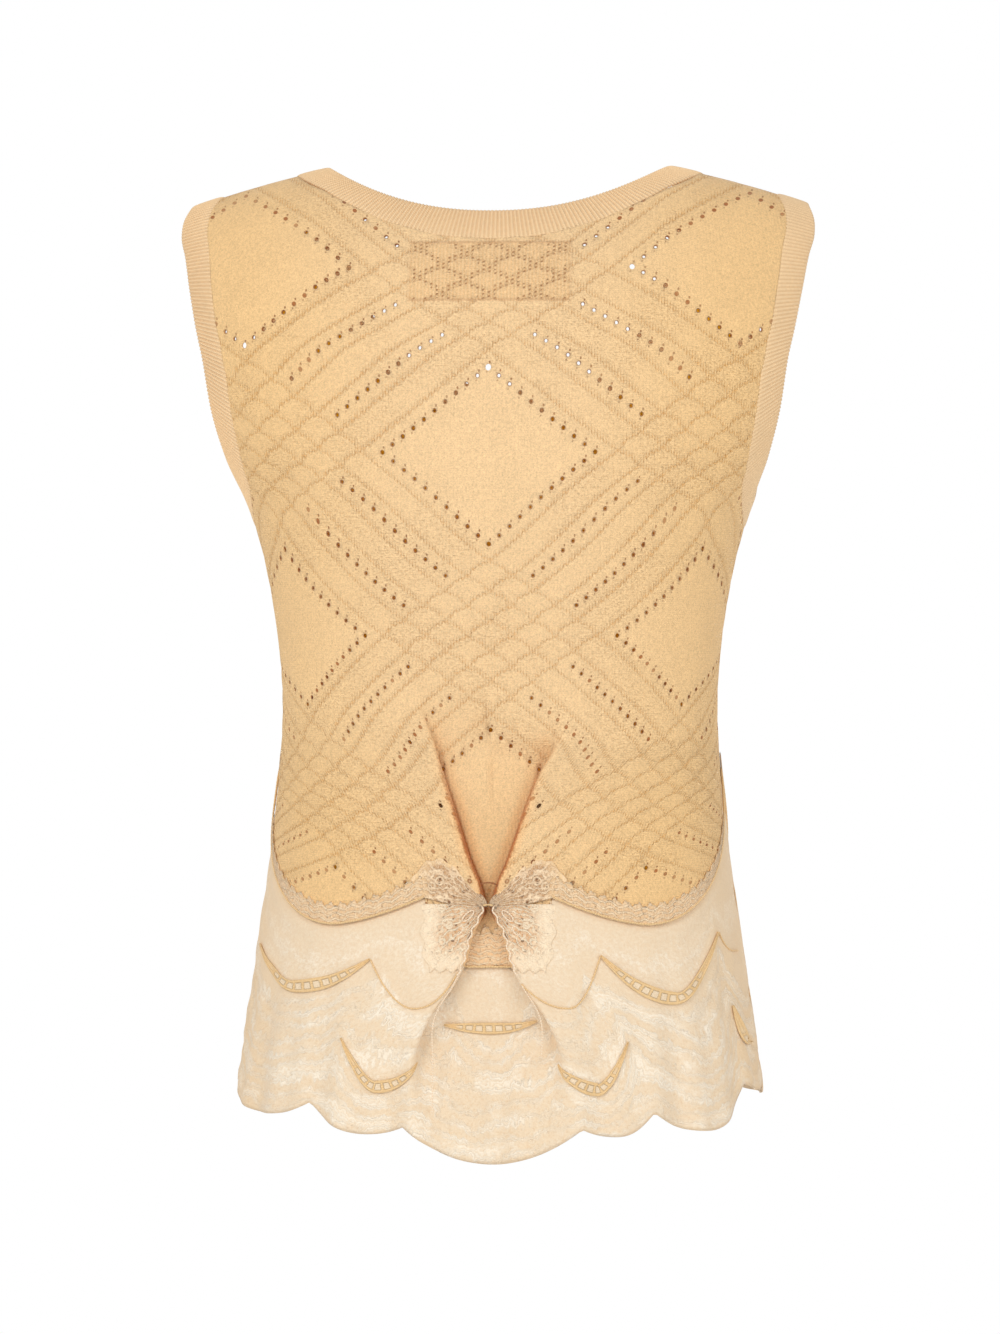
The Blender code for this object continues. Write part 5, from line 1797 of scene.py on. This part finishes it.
def lower_wing():
    """The same of a lower wing: from the fold edge to an outer edge that draws in as down^4."""
    (out, down), wing = wing_grid(), LOWER_WING
    level = wing["top"] - wing["height"] * down
    inner = fold_reach(level) + wing["off_fold"]
    outer = wing["end"] + 0.0013 * np.sin(down * 19.0) - 0.0050 * down**4
    level = level + 0.0011 * np.sin(out * 17.0) * down**3
    free = np.maximum(ease(out, 0.48, 0.92), ease(down, 0.50, 0.95))
    sunk = np.maximum(ease(out, 0.90, 1.0), ease(down, 0.93, 1.0))
    return inner + (outer - inner) * out, level, free, sunk


def pinch_cords(pale):
    """Wavy cords on the fold edges, oval loops beside them, and two sagging stitches over the pinch."""
    cords = []
    for hand in (LEFT, RIGHT):
        level = np.linspace(-0.4385, -0.4790, 60)
        arc = (fold_reach(level) + 0.0009 + 0.0007 * np.sin(level * 900.0)) * hand
        path = laid(arc, level, WING_CORDS["lift"])
        cords.append(cord_piece(f"edge{hand}", *path, WING_CORDS["edge"], pale))
        for row in WING_LOOPS:
            x, level = loop_path(*row)
            arc = arc_of_x(np.abs(x), level, BACK) * np.sign(x) * hand
            path = laid(arc, level, WING_CORDS["lift"])
            cords.append(cord_piece(f"loop{hand}{row[0]}", *path, WING_CORDS["loop"], pale))
    thread = cloth_material("stitches", cord_look, STITCH_YARN, 0.7, 0.1)
    part = np.linspace(-1.0, 1.0, 24)
    stitches = ((-0.4262, 0.0046, 0.0010, thread), (-0.4385, 0.0030, 0.0005, gold_cord()))
    for level, reach, sag, yarn in stitches:
        path = laid(reach * part, level + sag * (1.0 - part**2), 0.0022)
        cords.append(cord_piece(f"stitch{level}", *path, WING_CORDS["stitch"], yarn))
    return cords


def fold_cords(pale):
    """Cords along the fold edges of the lace, below the wings."""
    cords = []
    for hand, top, foot in FOLD_CORDS:
        level = np.linspace(top, foot, 80)
        arc = (fold_reach(level) + 0.0006) * hand
        path = laid(arc, level, LACE_CORD["lift"] + flare(arc, level, BACK))
        cords.append(cord_piece(f"fold{hand}", *path, WING_CORDS["fold"], pale))
    return cords


class KNITTOP_OT_wings(PieceOperator):
    """Lace wings, loops and cords at the pinch"""

    bl_idname = "knittop.wings"
    bl_label = "Wings at the pinch"

    def execute(self, context):
        knit, lace, trim = yarns("knit", "lace", "trim")
        grounds = {
            "upper": (shade(knit, 0.97), 0.88, (1.0, 0.885, 0.735)),
            "lower": (shade(lace, 1.10), 1.22, (1.0, 0.922, 0.795)),
        }
        materials = {}
        for kind, (ground, depth, light) in grounds.items():
            given = (shade(trim, depth), linear(light), (0.30, 0.12, 0.04), ground)
            materials[kind] = cloth_material(f"wing_{kind}", wing_look, given, 0.8, 0.2)
        shapes = {"upper": upper_wing(), "lower": lower_wing()}
        for word, hand in (("left", LEFT), ("right", RIGHT)):
            for kind, (arc, level, free, sunk) in shapes.items():
                piece = wing_sheet(f"lace_wing_{kind}_{word}", arc, level, hand, materials[kind], free, sunk)
                place(piece, "wing", f"wing_{kind}_{word}")
        pale = cord_material("pale_cord", "lace_light", "trim")
        place(joined("pinch_cords", pinch_cords(pale)), "wing")
        place(joined("fold_cords", fold_cords(pale)), "lace")
        return {"FINISHED"}


class KNITTOP_OT_label(PieceOperator):
    """Bare tape label inside the back neck"""

    bl_idname = "knittop.label"
    bl_label = "Neck label"

    def execute(self, context):
        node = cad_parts["neck_label"]
        material = cloth_material("label", tape_look, (linear((0.88, 0.76, 0.62)),), 0.5, 0.1)
        node.data.materials.clear()
        node.data.materials.append(material)
        return {"FINISHED"}


class KNITTOP_OT_stage(PieceOperator):
    """Floor, even light, lamps and camera"""

    bl_idname = "knittop.stage"
    bl_label = "Stage"

    def execute(self, context):
        scene = context.scene
        count, radius = FLOOR["sides"], FLOOR["radius"]
        angle = np.linspace(0.0, 2.0 * math.pi, count, endpoint=False)
        ring = [(radius * math.cos(a), radius * math.sin(a), FLOOR["level"]) for a in angle]
        mesh = bpy.data.meshes.new("floor")
        mesh.from_pydata(ring, [], [list(range(count))])
        floor = bpy.data.objects.new("floor", mesh)
        scene.collection.objects.link(floor)
        material = bpy.data.materials.new("floor")
        material.use_nodes = True
        shader = material.node_tree.nodes["Principled BSDF"]
        shader.inputs["Base Color"].default_value = (*[FLOOR["grey"]] * 3, 1.0)
        shader.inputs["Roughness"].default_value = 0.9
        mesh.materials.append(material)

        world = bpy.data.worlds.new("studio")
        world.use_nodes = True
        scene.world = world
        tree = world.node_tree
        background = tree.nodes["Background"]
        start = Fibre(tree)
        ray = start.node("ShaderNodeLightPath")
        seen = ray
        for k in (3, 6):
            seen = seen.most(Fibre(tree, ray.socket.node.outputs[k]))
        sky = colours().sky
        strength = seen * (1.0 - sky) + sky
        tree.links.new(strength.socket, background.inputs["Strength"])
        background.inputs["Color"].default_value = (1.0, 1.0, 1.0, 1.0)

        for name, place_at, size, power in LAMPS:
            light = bpy.data.lights.new(name, "AREA")
            light.energy = colours().lamp * power
            light.size = size
            lamp = bpy.data.objects.new(name, light)
            lamp.location = place_at
            aim = np.array(LAMP_AIM) - np.array(place_at)
            tilt = math.atan2(math.hypot(aim[0], aim[1]), -aim[2])
            lamp.rotation_euler = (tilt, 0.0, math.atan2(-aim[0], aim[1]))
            scene.collection.objects.link(lamp)

        camera_data = bpy.data.cameras.new("camera")
        camera_data.lens = CAMERA["lens"]
        camera_data.sensor_width = 36.0
        camera_data.clip_end = 60.0
        camera = bpy.data.objects.new("camera", camera_data)
        turn, distance = CAMERA["turn"], CAMERA["distance"]
        camera.location = (distance * math.sin(turn), -distance * math.cos(turn), CAMERA["level"])
        camera.rotation_euler = (math.pi / 2, 0.0, turn)
        scene.collection.objects.link(camera)
        scene.camera = camera
        scene.view_settings.view_transform = "Standard"
        return {"FINISHED"}


class KNITTOP_PT_panel(bpy.types.Panel):
    """Sidebar panel that lists the pieces"""

    bl_idname = "KNITTOP_PT_panel"
    bl_label = "Knit top"
    bl_space_type = "VIEW_3D"
    bl_region_type = "UI"
    bl_category = "Knit top"

    def draw(self, context):
        for operator in OPERATORS:
            self.layout.operator(operator.bl_idname)
        for group in (sizes(), colours()):
            box = self.layout.box()
            for name in group.bl_rna.properties.keys():
                if name not in ("rna_type", "name"):
                    box.prop(group, name)


GROUPS = (KnitTopSizes, KnitTopColours)
OPERATORS = (
    KNITTOP_OT_back,
    KNITTOP_OT_front,
    KNITTOP_OT_bands,
    KNITTOP_OT_lace,
    KNITTOP_OT_trims,
    KNITTOP_OT_crescents,
    KNITTOP_OT_wings,
    KNITTOP_OT_label,
    KNITTOP_OT_stage,
)


def register():
    """Register the settings, operators and panel."""
    for item in (*GROUPS, *OPERATORS, KNITTOP_PT_panel):
        bpy.utils.register_class(item)
    bpy.types.Scene.knit_top_sizes = PointerProperty(type=KnitTopSizes)
    bpy.types.Scene.knit_top_colours = PointerProperty(type=KnitTopColours)


def unregister():
    """Remove them again."""
    del bpy.types.Scene.knit_top_colours
    del bpy.types.Scene.knit_top_sizes
    for item in reversed((*GROUPS, *OPERATORS, KNITTOP_PT_panel)):
        bpy.utils.unregister_class(item)


def main():
    """Make every piece in order."""
    register()
    bpy.ops.knittop.back()
    bpy.ops.knittop.front()
    bpy.ops.knittop.bands()
    bpy.ops.knittop.lace()
    bpy.ops.knittop.trims()
    bpy.ops.knittop.crescents()
    bpy.ops.knittop.wings()
    bpy.ops.knittop.label()
    bpy.ops.knittop.stage()


if __name__ == "__main__":
    main()
